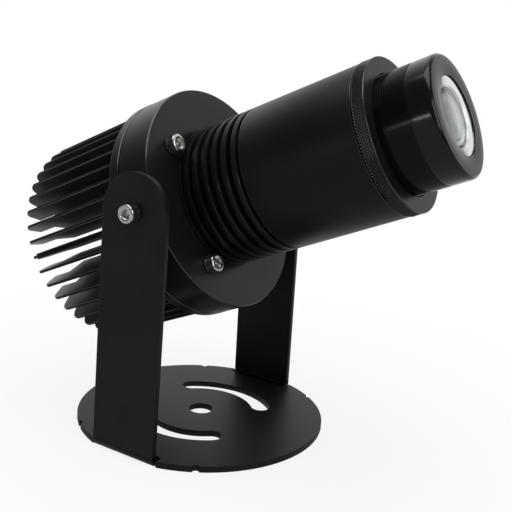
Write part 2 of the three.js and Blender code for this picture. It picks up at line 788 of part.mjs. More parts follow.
// Main tube
function mainTube() {
  const grooveRear = -spigotRear + sealGrooveInset;
  const grooveFront = grooveRear + 2 * sealWireRadius + 2 * seatGap;
  const grooveRadius = spigotRadius - 2 * sealWireRadius;
  const landRadius = barrelRadius + seatGap;
  const profile = [
    [-spigotRear, spigotBoreRadius],
    [-spigotRear, spigotRadius],
    [grooveRear, spigotRadius],
    [grooveRear, grooveRadius],
    [grooveFront, grooveRadius],
    [grooveFront, spigotRadius],
    [collarRear, spigotRadius],
    [collarRear, tubeRadius],
    [collarRear + neckCollarLength, tubeRadius],
    [collarRear + neckCollarLength, neckGrooveRadius],
  ];
  for (let i = 0; i < ribCount; i += 1) {
    const ribRear = firstRib + i * ribPitch;
    profile.push([ribRear, neckGrooveRadius], [ribRear, tubeRadius]);
    profile.push([ribRear + ribWidth, tubeRadius], [ribRear + ribWidth, neckGrooveRadius]);
  }
  profile.push(
    [tubeRear, neckGrooveRadius],
    [tubeRear, tubeRadius],
    [tubeFront - tubeEdgeChamfer, tubeRadius],
    [tubeFront, tubeRadius - tubeEdgeChamfer],
    [tubeFront, landRadius],
    [tubeFront - threadLandLength, landRadius],
    [tubeFront - threadLandLength, chamberRadius],
    [chamberRear, chamberRadius],
    [chamberRear, neckBoreRadius],
    [goboShoulder, neckBoreRadius],
    [goboShoulder, spigotBoreRadius],
    [-spigotRear, spigotBoreRadius],
  );
  const sealRing = [];
  const sealAlong = (grooveRear + grooveFront) / 2;
  const sealRadius = grooveRadius + sealWireRadius + seatGap / 2;
  for (let step = 0; step <= wireSides; step += 1) {
    const angle = (step / wireSides) * fullTurn;
    const along = sealAlong + sealWireRadius * Math.cos(angle);
    sealRing.push([along, sealRadius + sealWireRadius * Math.sin(angle)]);
  }
  return [
    piece('main_tube', turned(profile, tubeSides), finishes.anodised()),
    piece('tube_seal', turned(sealRing, tubeSides), finishes.rubber()),
  ];
}

// Focus
function focus() {
  const boreRadius = barrelRadius + lockRingClearance;
  const lockRing = turned([
    [lockRingRear, boreRadius],
    [lockRingRear, lockRingRadius - lockRingChamfer],
    [lockRingRear + lockRingChamfer, lockRingRadius],
    [lockRingFront - lockRingChamfer, lockRingRadius],
    [lockRingFront, lockRingRadius - lockRingChamfer],
    [lockRingFront, boreRadius],
    [lockRingRear, boreRadius],
  ], largeSides);
  const wallRear = barrelFront - barrelFrontWall;
  const barrel = turned([
    [barrelRear, barrelBoreRadius],
    [barrelRear, barrelRadius],
    [barrelFront - barrelChamferLength, barrelRadius],
    [barrelFront, barrelRadius - barrelChamferDepth],
    [barrelFront, barrelApertureRadius],
    [wallRear, barrelApertureRadius],
    [wallRear, barrelBoreRadius],
    [barrelRear, barrelBoreRadius],
  ], tubeSides);
  const lensRadius = barrelBoreRadius - seatGap;
  const frontEdge = wallRear - seatGap - frontLensSetback;
  const frontFlat = frontEdge - frontLensEdge;
  const spacerFront = frontFlat - seatGap;
  const spacerRear = spacerFront - objectiveSpacerLength;
  const rearFlat = spacerRear - seatGap;
  const rearEdge = rearFlat - rearLensEdge;
  const ringInner = lensRadius - objectiveRingWall;
  const ringFront = rearEdge - domeHeight(rearLensSag, lensRadius, ringInner) - seatGap;
  const frontLens = dome(frontFlat, frontEdge, lensRadius, frontLensSag, 1, mediumSides);
  const spacer = ring(spacerRear, spacerFront, lensRadius - objectiveSpacerWall, lensRadius, mediumSides);
  const rearLens = dome(rearEdge, rearFlat, lensRadius, rearLensSag, -1, mediumSides);
  const retainer = ring(ringFront - objectiveRingLength, ringFront, ringInner, lensRadius, mediumSides);
  return [
    piece('lock_ring', lockRing, finishes.anodised()),
    piece('focus_barrel', barrel, finishes.anodised()),
    piece('objective_front_lens', frontLens, finishes.glass()),
    piece('objective_spacer', spacer, finishes.boardMetal()),
    piece('objective_rear_lens', rearLens, finishes.glass()),
    piece('objective_retaining_ring', retainer, finishes.anodised()),
  ];
}

// Cable gland
function gland() {
  const hexFront = flangeRear - seatGap;
  const hexRear = hexFront - glandHexThickness;
  const threadRear = hexRear - glandThreadLength;
  const stubFront = hexFront + glandStubLength;
  const shank = turned([
    [threadRear, 0],
    [threadRear, glandThreadRadius],
    [hexRear, glandThreadRadius],
    [hexFront, glandStubRadius],
    [stubFront, glandStubRadius],
    [stubFront, 0],
  ], smallSides);
  const hex = barAlongX(hexagon(glandHexWidth), hexRear, hexFront);
  const bore = disc(threadRear - cutOverrun, stubFront + cutOverrun, glandBoreRadius, smallSides);
  const body = solid(shank).add(solid(hex)).subtract(solid(bore));
  const sealFront = threadRear - seatGap;
  const sealRear = sealFront - glandSealThickness;
  const seal = ring(sealRear, sealFront, glandBoreRadius, glandSealRadius, smallSides);
  const nutFront = hexRear - seatGap;
  const nutRear = sealRear - seatGap - glandNutWall;
  const cavityRadius = glandThreadRadius + seatGap;
  const nutBlank = barAlongX(hexagon(glandHexWidth), nutRear, nutFront);
  const nutCavity = disc(nutRear + glandNutWall, nutFront + cutOverrun, cavityRadius, smallSides);
  const nutBore = disc(nutRear - cutOverrun, nutFront + cutOverrun, glandBoreRadius, smallSides);
  const nut = solid(nutBlank).subtract(solid(nutCavity)).subtract(solid(nutBore));
  return [
    piece('gland_body', geometryOf(body), finishes.blackPlastic()),
    piece('gland_seal', seal, finishes.rubber()),
    piece('gland_nut', geometryOf(nut), finishes.blackPlastic()),
  ].map((part) => {
    part.position.z = glandRadialPlace;
    return part;
  });
}

const projector = new THREE.Group();
const head = new THREE.Group();
head.position.z = pivotHeight;
head.rotation.y = -headTilt;

projector.add(yoke());
head.add(
  ...tiltHardware(),
  housing(),
  ...housingScrews(),
  heatSink(),
  ...lightSource(),
  lead('lead_red', 1, finishes.redLead()),
  lead('lead_black', -1, finishes.blackLead()),
  ...condenser(),
  ...gobo(),
  ...mainTube(),
  ...focus(),
  ...gland(),
);
projector.add(head);

export default projector;
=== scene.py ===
"""Looks of the gobo projector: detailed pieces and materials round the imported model."""
import json
import math

import bmesh
import bpy
from mathutils import Matrix, Vector
from mathutils.geometry import tessellate_polygon


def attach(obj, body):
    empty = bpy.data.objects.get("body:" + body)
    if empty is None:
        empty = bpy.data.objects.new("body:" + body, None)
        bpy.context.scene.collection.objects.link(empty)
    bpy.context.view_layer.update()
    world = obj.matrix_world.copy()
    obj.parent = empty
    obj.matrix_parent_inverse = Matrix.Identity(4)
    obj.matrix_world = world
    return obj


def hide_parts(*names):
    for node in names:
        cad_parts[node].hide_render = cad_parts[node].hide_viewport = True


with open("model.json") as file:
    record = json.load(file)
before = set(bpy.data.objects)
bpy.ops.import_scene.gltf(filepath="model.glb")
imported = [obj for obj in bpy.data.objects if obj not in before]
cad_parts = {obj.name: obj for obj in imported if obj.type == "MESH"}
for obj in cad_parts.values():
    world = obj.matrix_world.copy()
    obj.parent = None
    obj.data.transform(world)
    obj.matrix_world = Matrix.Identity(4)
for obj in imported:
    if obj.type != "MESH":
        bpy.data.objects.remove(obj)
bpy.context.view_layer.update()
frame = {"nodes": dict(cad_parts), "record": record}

# Sizes of pieces are in millimetres, which make_piece turns into Blender's metres. Angles are in radians.
# The yoke stands with Z up. In the head's pieces X runs forwards along the lamp's axis from the pivot.
# GAP is the air between pieces. PATTERN_TURN turns the fins and the housing's screws about the axis.
MM = 0.001
FULL_TURN = 2 * math.pi
GAP = 0.3
PIVOT_HEIGHT = 113.4
TILT = math.radians(23.4)
PATTERN_TURN = math.radians(3.4)
HOUSING_RADIUS = 54.6
FIN_RADIUS = 52.4
FIN_REAR = -79.4
WORLD = Matrix.Identity(4)
HEAD = Matrix.Translation((0, 0, PIVOT_HEIGHT * MM)) @ Matrix.Rotation(-TILT, 4, "Y")


# Shader building blocks
def new_material(name):
    """A new material, its node tree and its main shader."""
    mat = bpy.data.materials.new(name)
    mat.use_nodes = True
    return mat, mat.node_tree, mat.node_tree.nodes["Principled BSDF"]


def add(tree, kind, **settings):
    """A new shader node of the kind, with its own settings."""
    node = tree.nodes.new("ShaderNode" + kind)
    for key, value in settings.items():
        setattr(node, key, value)
    return node


def object_point(tree, scale=(1, 1, 1)):
    """The point in the piece's own coordinates, in metres, times the scale."""
    coord = add(tree, "TexCoord")
    mapping = add(tree, "Mapping")
    mapping.inputs["Scale"].default_value = scale
    tree.links.new(coord.outputs["Object"], mapping.inputs["Vector"])
    return mapping.outputs["Vector"]


def noise(tree, vector, scale, detail):
    """A cloudy value, with the scale in clouds to a metre."""
    node = add(tree, "TexNoise")
    for key, value in (("Scale", scale), ("Detail", detail), ("Roughness", 0.55)):
        node.inputs[key].default_value = value
    tree.links.new(vector, node.inputs["Vector"])
    return node.outputs["Fac"]


def spread(tree, value, low, high, start=0.3, end=0.7, **settings):
    """A number that goes from low to high while the value goes from start to end."""
    node = add(tree, "MapRange", **settings)
    for key, number in (("From Min", start), ("From Max", end), ("To Min", low), ("To Max", high)):
        node.inputs[key].default_value = number
    tree.links.new(value, node.inputs["Value"])
    return node.outputs["Result"]


def ramp(tree, value, dark, light):
    """A colour that goes from dark to light over the middle of a noise's range."""
    node = add(tree, "ValToRGB")
    for element, position, colour in zip(node.color_ramp.elements, (0.35, 0.65), (dark, light)):
        element.position = position
        element.color = (*colour, 1)
    tree.links.new(value, node.inputs["Fac"])
    return node.outputs["Color"]


def calculate(tree, operation, *values):
    """The result of a math node on numbers and sockets."""
    node = add(tree, "Math", operation=operation)
    for socket, value in zip(node.inputs, values):
        if isinstance(value, (int, float)):
            socket.default_value = value
        else:
            tree.links.new(value, socket)
    return node.outputs[0]


def bump(tree, height, strength, distance, below=None):
    """A normal from a height of the given distance in millimetres, on top of the normal below."""
    node = add(tree, "Bump")
    node.inputs["Strength"].default_value = strength
    node.inputs["Distance"].default_value = distance * MM
    tree.links.new(height, node.inputs["Height"])
    if below is not None:
        tree.links.new(below, node.inputs["Normal"])
    return node.outputs["Normal"]


def along_and_radius(tree):
    """How far a point of the head lies along the lamp's axis, and how far from it."""
    split = add(tree, "SeparateXYZ")
    tree.links.new(object_point(tree), split.inputs[0])
    flat = add(tree, "CombineXYZ")
    for axis in "YZ":
        tree.links.new(split.outputs[axis], flat.inputs[axis])
    radius = add(tree, "VectorMath", operation="LENGTH")
    tree.links.new(flat.outputs[0], radius.inputs[0])
    return split.outputs["X"], radius.outputs["Value"]


def turning_lines(tree, pitch):
    """A value that changes along the axis and with the radius, as a lathe's feed marks do."""
    along, radius = along_and_radius(tree)
    lines = add(tree, "TexNoise", noise_dimensions="1D")
    lines.inputs["Scale"].default_value = 1.0
    lines.inputs["Detail"].default_value = 2.0
    turned = calculate(tree, "MULTIPLY", calculate(tree, "ADD", along, radius), 1.0 / (pitch * MM))
    tree.links.new(turned, lines.inputs["W"])
    return lines.outputs["Fac"]


def dress(tree, shader, colour, roughness, normal=None, **numbers):
    """Link the sockets that vary over the surface, and set those that are the same all over it."""
    tree.links.new(colour, shader.inputs["Base Color"])
    tree.links.new(roughness, shader.inputs["Roughness"])
    if normal is not None:
        tree.links.new(normal, shader.inputs["Normal"])
    sockets = {"level": "Specular IOR Level", "metallic": "Metallic", "ior": "IOR",
               "transmission": "Transmission Weight"}
    for key, number in numbers.items():
        shader.inputs[sockets[key]].default_value = number


# Materials
def powder_coat():
    """Black powder coat: orange peel under a fine grain, a little cloudy in colour."""
    mat, tree, shader = new_material("powder_coat_black")
    place = object_point(tree)
    cloud = noise(tree, place, scale=35, detail=4)
    grain = noise(tree, place, scale=2600, detail=2)
    peel = noise(tree, place, scale=700, detail=3)
    colour = ramp(tree, cloud, dark=(0.006, 0.006, 0.0065), light=(0.0105, 0.0105, 0.011))
    orange_peel = bump(tree, peel, strength=0.25, distance=0.05)
    normal = bump(tree, grain, strength=0.3, distance=0.02, below=orange_peel)
    dress(tree, shader, colour, spread(tree, grain, 0.36, 0.49), normal, level=0.22)
    return mat


LINES_SHARE = 0.6
CLOUD_SHARE = 0.4


def turned_black(name, dark, light, roughness, pitch, strength, level):
    """Black anodised metal with a lathe's feed marks, their pitch in millimetres."""
    mat, tree, shader = new_material(name)
    place = object_point(tree)
    lines = turning_lines(tree, pitch)
    cloud = noise(tree, place, scale=28, detail=4)
    grain = noise(tree, place, scale=1800, detail=2)
    clouded = calculate(tree, "MULTIPLY", cloud, CLOUD_SHARE)
    both = calculate(tree, "MULTIPLY_ADD", lines, LINES_SHARE, clouded)
    fine = bump(tree, grain, strength=0.2, distance=0.01)
    normal = bump(tree, lines, strength, distance=0.02, below=fine)
    varied = spread(tree, both, roughness - 0.05, roughness + 0.06)
    dress(tree, shader, ramp(tree, both, dark, light), varied, normal, level=level)
    return mat


def sawn_fins():
    """Black anodised fins: glossier towards their sawn rear, dull on their outer edges, and darkened there
    with painted shade.
    """
    mat, tree, shader = new_material("anodised_fins")
    drag = noise(tree, object_point(tree, scale=(60, 900, 900)), scale=1.0, detail=3)
    cloud = noise(tree, object_point(tree), scale=40, detail=3)
    along, radius = along_and_radius(tree)
    deep_start, deep_end = (FIN_REAR + 1.4) * MM, (FIN_REAR + 21.4) * MM
    edge_start, edge_end = (FIN_RADIUS - 0.4) * MM, (FIN_RADIUS - 0.2) * MM
    deeper = spread(tree, along, low=0.24, high=0.62, start=deep_start, end=deep_end)
    duller = spread(tree, radius, low=0.0, high=0.3, start=edge_start, end=edge_end)
    uneven = calculate(tree, "ADD", deeper, spread(tree, drag, -0.05, 0.07))
    shade = add(tree, "VectorMath", operation="SCALE")
    colour = ramp(tree, cloud, dark=(0.004, 0.004, 0.0045), light=(0.008, 0.008, 0.0085))
    tree.links.new(colour, shade.inputs[0])
    # Painted shade: the fins' outer edge faces get under half the colour of their sides.
    painted_edge_shade = spread(tree, radius, low=1.0, high=0.45, start=edge_start, end=edge_end)
    tree.links.new(painted_edge_shade, shade.inputs["Scale"])
    normal = bump(tree, drag, strength=0.15, distance=0.03)
    dress(tree, shader, shade.outputs[0], calculate(tree, "ADD", uneven, duller), normal, level=0.4)
    return mat


def stainless():
    """Stainless steel with fine scratches along X."""
    mat, tree, shader = new_material("stainless_steel")
    scratches = noise(tree, object_point(tree, scale=(400, 3000, 3000)), scale=1.0, detail=3)
    cloud = noise(tree, object_point(tree), scale=300, detail=3)
    colour = ramp(tree, cloud, dark=(0.56, 0.56, 0.55), light=(0.78, 0.78, 0.76))
    normal = bump(tree, scratches, strength=0.12, distance=0.02)
    dress(tree, shader, colour, spread(tree, scratches, 0.13, 0.28), normal, metallic=1.0)
    return mat


def glass():
    """Clear lens glass with a faint smear."""
    mat, tree, shader = new_material("coated_glass")
    smear = noise(tree, object_point(tree), scale=90, detail=3)
    colour = ramp(tree, smear, dark=(0.93, 0.96, 0.96), light=(1.0, 1.0, 1.0))
    dress(tree, shader, colour, spread(tree, smear, 0.0, 0.035), transmission=1.0, ior=1.52)
    return mat


def plain(name, dark, light, roughness, scale=300, metallic=0.0, strength=0.15, level=0.5):
    """A plain finish: a cloudy colour, and a grain nine times finer than the clouds."""
    mat, tree, shader = new_material(name)
    place = object_point(tree)
    cloud = noise(tree, place, scale, detail=4)
    grain = noise(tree, place, scale * 9, detail=2)
    varied = spread(tree, grain, roughness - 0.06, roughness + 0.06)
    normal = bump(tree, grain, strength, distance=0.03)
    dress(tree, shader, ramp(tree, cloud, dark, light), varied, normal, metallic=metallic, level=level)
    return mat


COAT = powder_coat()
TUBE = turned_black("anodised_turned", dark=(0.0036, 0.0036, 0.004), light=(0.0064, 0.0064, 0.0068),
                    roughness=0.4, pitch=0.22, strength=0.12, level=0.22)
RINGS = turned_black("anodised_ring", dark=(0.006, 0.006, 0.0065), light=(0.011, 0.011, 0.0115),
                     roughness=0.32, pitch=0.3, strength=0.12, level=0.24)
BARREL = turned_black("anodised_barrel", dark=(0.0035, 0.0035, 0.004), light=(0.0062, 0.0062, 0.0066),
                      roughness=0.15, pitch=0.2, strength=0.06, level=0.36)
# Painted highlight: chamfers get a lighter colour than the faces beside them, so they show as thin light
# lines.
CHAMFER_HIGHLIGHT = turned_black("chamfer_painted_highlight", dark=(0.012, 0.012, 0.0125), light=(0.022, 0.022, 0.0225),
                    roughness=0.22, pitch=0.2, strength=0.04, level=0.7)
# Painted highlight: the fins' narrow eased edges get a much lighter colour, so each fin shows thin light
# lines along its edges.
FIN_EDGE_HIGHLIGHT = turned_black("fin_edge_painted_highlight", dark=(0.045, 0.045, 0.046), light=(0.08, 0.08, 0.082),
                        roughness=0.3, pitch=0.4, strength=0.04, level=0.6)
FINS = sawn_fins()
STEEL = stainless()
GLASS = glass()
NYLON = plain("black_nylon", (0.012, 0.012, 0.013), (0.022, 0.022, 0.023), roughness=0.55)
WHITE = plain("white_plastic", (0.72, 0.71, 0.66), (0.82, 0.81, 0.77), roughness=0.45)
BARE = plain("bare_aluminium", (0.8, 0.8, 0.8), (0.9, 0.9, 0.9), roughness=0.12, metallic=1.0, strength=0.03)
PALE_GLASS = plain("bloomed_glass", (0.5, 0.52, 0.53), (0.64, 0.66, 0.67), roughness=0.09, scale=60,
                   metallic=0.8, strength=0.02)
BOARD = plain("board_aluminium", (0.55, 0.56, 0.55), (0.7, 0.71, 0.7), roughness=0.35, metallic=0.9)
PHOSPHOR = plain("phosphor_gel", (0.75, 0.5, 0.04), (0.9, 0.66, 0.08), roughness=0.5)
PAD = plain("silicone_pad", (0.24, 0.26, 0.28), (0.34, 0.36, 0.38), roughness=0.7)
RUBBER = plain("seal_rubber", (0.01, 0.01, 0.01), (0.02, 0.02, 0.02), roughness=0.8)
PLATE = plain("etched_steel", (0.42, 0.42, 0.42), (0.56, 0.56, 0.56), roughness=0.3, metallic=1.0)
RED = plain("red_insulation", (0.45, 0.015, 0.01), (0.58, 0.03, 0.02), roughness=0.45)
BLACK = plain("black_insulation", (0.015, 0.015, 0.015), (0.025, 0.025, 0.025), roughness=0.45)

# Materials of the solids themselves, by the record's material slots
SLOTS = {
    "coated_sheet": COAT, "anodised_black": TUBE, "fin_black": FINS, "stainless_screw": STEEL,
    "gobo_steel": PLATE, "lens_glass": GLASS, "black_nylon": NYLON, "white_plastic": WHITE,
    "board_aluminium": BOARD, "phosphor": PHOSPHOR, "thermal_pad": PAD, "seal_rubber": RUBBER,
    "red_lead": RED, "black_lead": BLACK,
}
for part in frame["record"]["subparts"]:
    node = frame["nodes"][part["node"]]
    node.data.materials.clear()
    node.data.materials.append(SLOTS[part["material_slot"]])


# Making a piece from a shape, which is a pair of points and faces
# Points closer than SAME_POINT become one, and edges under SHORTEST_EDGE go, both in metres.
SAME_POINT = 1e-7
SHORTEST_EDGE = 1e-8
EDGE_STRIP = 0.3
LEAST_SLANT = 0.25
MOST_SLANT = 0.9


def slanted(face):
    """True on a turned piece's chamfers, which face neither along X nor across it."""
    return LEAST_SLANT < abs(face.normal.x) < MOST_SLANT


def narrow(face):
    """True on a fin's eased edges, which are long strips with four corners."""
    width = 2 * face.calc_area() / face.calc_perimeter()
    return len(face.verts) == 4 and width < EDGE_STRIP * MM


def make_piece(name, shape, body, material, replaces=(), place=HEAD, sharp=20, flat_triangles=True,
               edges=None, eased_face=slanted):
    """A mesh piece that is smooth where its faces meet at less than the sharp angle, in degrees.

    The faces that eased_face picks get the edges material, where one is given: a lighter colour that paints
    highlights on chamfers and fin edges.
    """
    points, faces = shape
    mesh = bpy.data.meshes.new(name)
    mesh.from_pydata([Vector(point) * MM for point in points], [], faces)
    work = bmesh.new()
    work.from_mesh(mesh)
    bmesh.ops.remove_doubles(work, verts=work.verts, dist=SAME_POINT)
    bmesh.ops.dissolve_degenerate(work, dist=SHORTEST_EDGE, edges=work.edges)
    bmesh.ops.recalc_face_normals(work, faces=work.faces)
    for face in work.faces:
        face.smooth = not (flat_triangles and len(face.verts) == 3)
        if edges and eased_face(face):
            face.material_index = 1
    for edge in work.edges:
        edge.smooth = len(edge.link_faces) == 2 and edge.calc_face_angle(0) < math.radians(sharp)
    work.to_mesh(mesh)
    work.free()
    obj = bpy.data.objects.new(name, mesh)
    bpy.context.scene.collection.objects.link(obj)
    obj.matrix_world = place
    mesh.materials.append(material)
    if edges:
        mesh.materials.append(edges)
    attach(obj, body)
    if replaces:
        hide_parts(*replaces)


# Shapes
STEPS_PER_TOOTH = 4
# A plate's edge has a row of points at each of these turns from its face to its side.
ROUNDED = (0, 0.52, 1.05, 1.57)
CHAMFERED = (0, 1.57)
# This limits how far a sharp corner moves when its outline is inset.
SHARPEST = 0.35
# A rounded corner's middle lies this share of the way from its chord to the corner.
CORNER_PULL = 0.58
# A corner's cut takes at most this share of a side.
LONGEST_CUT = 0.45


def merged(*shapes):
    """Several shapes as one."""
    points, faces = [], []
    for more_points, more_faces in shapes:
        first = len(points)
        points += more_points
        faces += [tuple(i + first for i in face) for face in more_faces]
    return points, faces


def moved(shape, matrix):
    """The shape in its new place."""
    points, faces = shape
    return [tuple(matrix @ Vector(point)) for point in points], faces


def arc(centre, radius, start, end, steps):
    """Points along an arc from one turn to another, with both ends."""
    return [(centre[0] + radius * math.cos(start + (end - start) * i / steps),
             centre[1] + radius * math.sin(start + (end - start) * i / steps)) for i in range(steps + 1)]


def circle(centre, radius, sides, clockwise=False):
    """Points round a circle."""
    loop = arc(centre, radius, 0, FULL_TURN, sides)[:-1]
    return loop[::-1] if clockwise else loop


def hexagon(across):
    """Corners of a hexagon with the given width across its flats."""
    radius = across / 2 / math.cos(math.pi / 6)
    return circle((0, 0), radius, 6)


def ring(along, radii):
    """Points at equal turns about X, each with its own radius."""
    points = []
    for i, radius in enumerate(radii):
        angle = FULL_TURN * i / len(radii)
        points.append((along, radius * math.cos(angle), radius * math.sin(angle)))
    return points


def bands(first, rings, count):
    """Faces between rings of count points, of which the first ring starts at the first point."""
    faces = []
    for start in range(first, first + (rings - 1) * count, count):
        for i in range(count):
            j = (i + 1) % count
            faces.append((start + i, start + j, start + count + j, start + count + i))
    return faces


def cap(points, loops):
    """Triangles over a flat area, from loops of point numbers: the outline, then its holes."""
    numbers = [i for loop in loops for i in loop]
    triangles = tessellate_polygon([[Vector(points[i]) for i in loop] for loop in loops])
    return [tuple(numbers[i] for i in triangle) for triangle in triangles]


def inset(loop, amount):
    """The closed 2D loop moved to its left by the amount."""
    out = []
    for i, point in enumerate(loop):
        before, here, after = Vector(loop[i - 1]), Vector(point), Vector(loop[(i + 1) % len(loop)])
        arriving, leaving = (here - before).normalized(), (after - here).normalized()
        left_before, left_after = Vector((-arriving.y, arriving.x)), Vector((-leaving.y, leaving.x))
        left = left_before + left_after
        reach = amount / max(left.dot(left_before), SHARPEST)
        out.append((here.x + left.x * reach, here.y + left.y * reach))
    return out


def plate(outline, holes, thickness, ease, turns=ROUNDED):
    """A flat plate with eased edges. The outline runs anticlockwise, and each hole clockwise."""
    # Each level of the plate's side is how far its loops are inset, and its height.
    lower = [(ease * (1 - math.sin(turn)), ease * (1 - math.cos(turn))) for turn in turns]
    levels = lower + [(amount, thickness - height) for amount, height in reversed(lower)]
    points, faces = [], []
    caps = {0: [], len(levels) - 1: []}
    for loop in [outline, *holes]:
        count = len(loop)
        first = len(points)
        for k, (amount, height) in enumerate(levels):
            if k in caps:
                caps[k].append(range(len(points), len(points) + count))
            points += [(x, y, height) for x, y in inset(loop, amount)]
        faces += bands(first, len(levels), count)
    for loops in caps.values():
        faces += cap(points, loops)
    return points, faces


def lathe(profile, sides):
    """A closed or on-axis profile of (place along X, radius), turned about X."""
    points, faces = [], []
    count = len(profile)
    for i in range(sides):
        angle = FULL_TURN * i / sides
        for along, radius in profile:
            points.append((along, radius * math.cos(angle), radius * math.sin(angle)))
    for i in range(sides):
        j = (i + 1) % sides
        for k in range(count - 1):
            a, b, c, d = i * count + k, i * count + k + 1, j * count + k + 1, j * count + k
            if profile[k][1] == 0:
                faces.append((a, b, c))
            elif profile[k + 1][1] == 0:
                faces.append((a, b, d))
            else:
                faces.append((a, b, c, d))
    return points, faces


def eased(profile, size):
    """The closed profile with its corners cut by the size and rounded.

    A point is (along, radius), or (along, radius, factor) where its cut is the size times the factor.
    """
    out = []
    for i, (along, radius, *factor) in enumerate(profile):
        here = Vector((along, radius))
        if factor == [0]:
            out.append(tuple(here))
            continue
        to_before = Vector(profile[i - 1][:2]) - here
        to_after = Vector(profile[(i + 1) % len(profile)][:2]) - here
        wanted = size * factor[0] if factor else size
        cut = min(wanted, to_before.length * LONGEST_CUT, to_after.length * LONGEST_CUT)
        start, end = here + to_before.normalized() * cut, here + to_after.normalized() * cut
        middle = (start + end) / 2 * (1 - CORNER_PULL) + here * CORNER_PULL
        out += [tuple(start), tuple(middle), tuple(end)]
    return [*out, out[0]]


# Yoke
SHEET = 3.0
SHEET_EASE = 0.3
BASE_RADIUS = 63.5
RIM_STEP = math.radians(1.5)
NOTCH_RADIUS = 1.6
NOTCH_ANGLE = math.radians(56)
NOTCH_TRIM = 0.02
CENTRE_HOLE_RADIUS = 6.1
SLOT_PATH = 32.1
SLOT_WIDTH = 9.7
SLOT_SWEEP = math.radians(90.5)
ARM_WIDTH = 35.7
ARM_REACH = 62.2
LEAN = math.radians(1.4)
TILT_HOLE_RADIUS = 2.8
RELIEF_WIDTH = 1.0
RELIEF_DEPTH = 2.0
BEND_INNER = 0.3
BEND_OUTER = BEND_INNER + SHEET
BEND_CENTRE = ARM_REACH - BEND_OUTER * (1 + math.sin(LEAN)) / math.cos(LEAN)
BEND_INTO_BASE = 2.6
BEND_INTO_ARM = 1.0
BEND_MIDDLE_ROW = 0.3 * SHEET_EASE


def rim_arc(start, end):
    """A stretch of the base's rim without notches."""
    return arc((0, 0), BASE_RADIUS, start, end, max(2, int((end - start) / RIM_STEP)))


def rim(start, end):
    """The base's round rim from one turn to another, with the notches that lie between them."""
    notch_half = math.asin(NOTCH_RADIUS / BASE_RADIUS)
    quarter = math.pi / 2
    notches = [side + way * NOTCH_ANGLE for side in (0, math.pi) for way in (-1, 1)]
    points = []
    at = start
    for notch in notches:
        if start < notch < end:
            points += rim_arc(at, notch - notch_half)
            centre = (BASE_RADIUS * math.cos(notch), BASE_RADIUS * math.sin(notch))
            first, last = notch - quarter - NOTCH_TRIM, notch - 3 * quarter + NOTCH_TRIM
            points += arc(centre, NOTCH_RADIUS, first, last, 10)[1:-1]
            at = notch + notch_half
    return points + rim_arc(at, end)


def base_outline():
    """Anticlockwise outline of the base: the rim, cut square at each bend between two small reliefs."""
    half = ARM_WIDTH / 2
    relief = half + RELIEF_WIDTH
    corner = math.acos(relief / BASE_RADIUS)
    depth = BEND_CENTRE - RELIEF_DEPTH
    cut = [(relief, depth), (half, depth), (half, BEND_CENTRE)]
    cut += [(-x, y) for x, y in reversed(cut)]
    opposite = [(-x, -y) for x, y in cut]
    return rim(-corner, corner) + cut + rim(math.pi - corner, math.pi + corner) + opposite


def slot_end(turn, start):
    """The round end of a curved slot, at a turn about the base's centre."""
    centre = (SLOT_PATH * math.cos(turn), SLOT_PATH * math.sin(turn))
    return arc(centre, SLOT_WIDTH / 2, start, start + math.pi, 16)[1:-1]


def base_holes():
    """Clockwise outlines of the centre hole and the two curved slots."""
    holes = [circle((0, 0), CENTRE_HOLE_RADIUS, 64, clockwise=True)]
    for middle in (math.pi / 2, -math.pi / 2):
        start, end = middle - SLOT_SWEEP / 2, middle + SLOT_SWEEP / 2
        slot = arc((0, 0), SLOT_PATH + SLOT_WIDTH / 2, start, end, 48)
        slot += slot_end(end, end)
        slot += arc((0, 0), SLOT_PATH - SLOT_WIDTH / 2, end, start, 48)
        slot += slot_end(start, start + math.pi)
        holes.append(slot[::-1])
    return holes


def arm():
    """The arm on the side of +Y, above its bend: a plate on edge that leans inwards."""
    top = PIVOT_HEIGHT / math.cos(LEAN)
    half = ARM_WIDTH / 2
    outline = [(half, BEND_OUTER), *arc((0, top), half, 0, math.pi, 48), (-half, BEND_OUTER)]
    hole = circle((0, top), TILT_HOLE_RADIUS, 32, clockwise=True)
    # The plate's X, Y and height become the ways across the arm, up the arm and inwards.
    place = Matrix((
        (1, 0, 0, 0),
        (0, -math.sin(LEAN), -math.cos(LEAN), ARM_REACH),
        (0, math.cos(LEAN), -math.sin(LEAN), 0),
        (0, 0, 0, 1),
    ))
    return moved(plate(outline, [hole], SHEET, SHEET_EASE), place)


def bend_section(shrink):
    """Cross-section of the bend as (Y, Z), drawn in by the shrink."""
    centre = (BEND_CENTRE, BEND_OUTER)
    outer, inner = BEND_OUTER - shrink, BEND_INNER + shrink
    outwards = Vector((math.cos(LEAN), math.sin(LEAN)))
    top = Vector(centre) + Vector((-math.sin(LEAN), math.cos(LEAN))) * BEND_INTO_ARM
    return [
        (BEND_CENTRE - BEND_INTO_BASE, SHEET - shrink),
        (BEND_CENTRE - BEND_INTO_BASE, shrink),
        *arc(centre, outer, -math.pi / 2, LEAN, 10),
        tuple(top + outwards * outer),
        tuple(top + outwards * inner),
        *arc(centre, inner, LEAN, -math.pi / 2, 4),
    ]


def bend():
    """The bend from the base up into the arm: its cross-section run along X, with eased sides."""
    half = ARM_WIDTH / 2
    stations = [(-half, SHEET_EASE), (-half + BEND_MIDDLE_ROW, BEND_MIDDLE_ROW), (-half + SHEET_EASE, 0)]
    stations += [(-x, shrink) for x, shrink in reversed(stations)]
    points = [(x, y, z) for x, shrink in stations for y, z in bend_section(shrink)]
    count = len(points) // len(stations)
    faces = bands(0, len(stations), count)
    for first in (0, len(points) - count):
        faces += cap(points, [range(first, first + count)])
    return points, faces


def yoke():
    """One bent sheet: the round base, and an arm with its bend on each side."""
    base = plate(base_outline(), base_holes(), SHEET, SHEET_EASE)
    side = merged(arm(), bend())
    return merged(base, side, moved(side, Matrix.Rotation(math.pi, 4, "Z")))


make_piece("yoke_sheet", yoke(), "base", COAT, ["yoke"], place=WORLD, sharp=35)


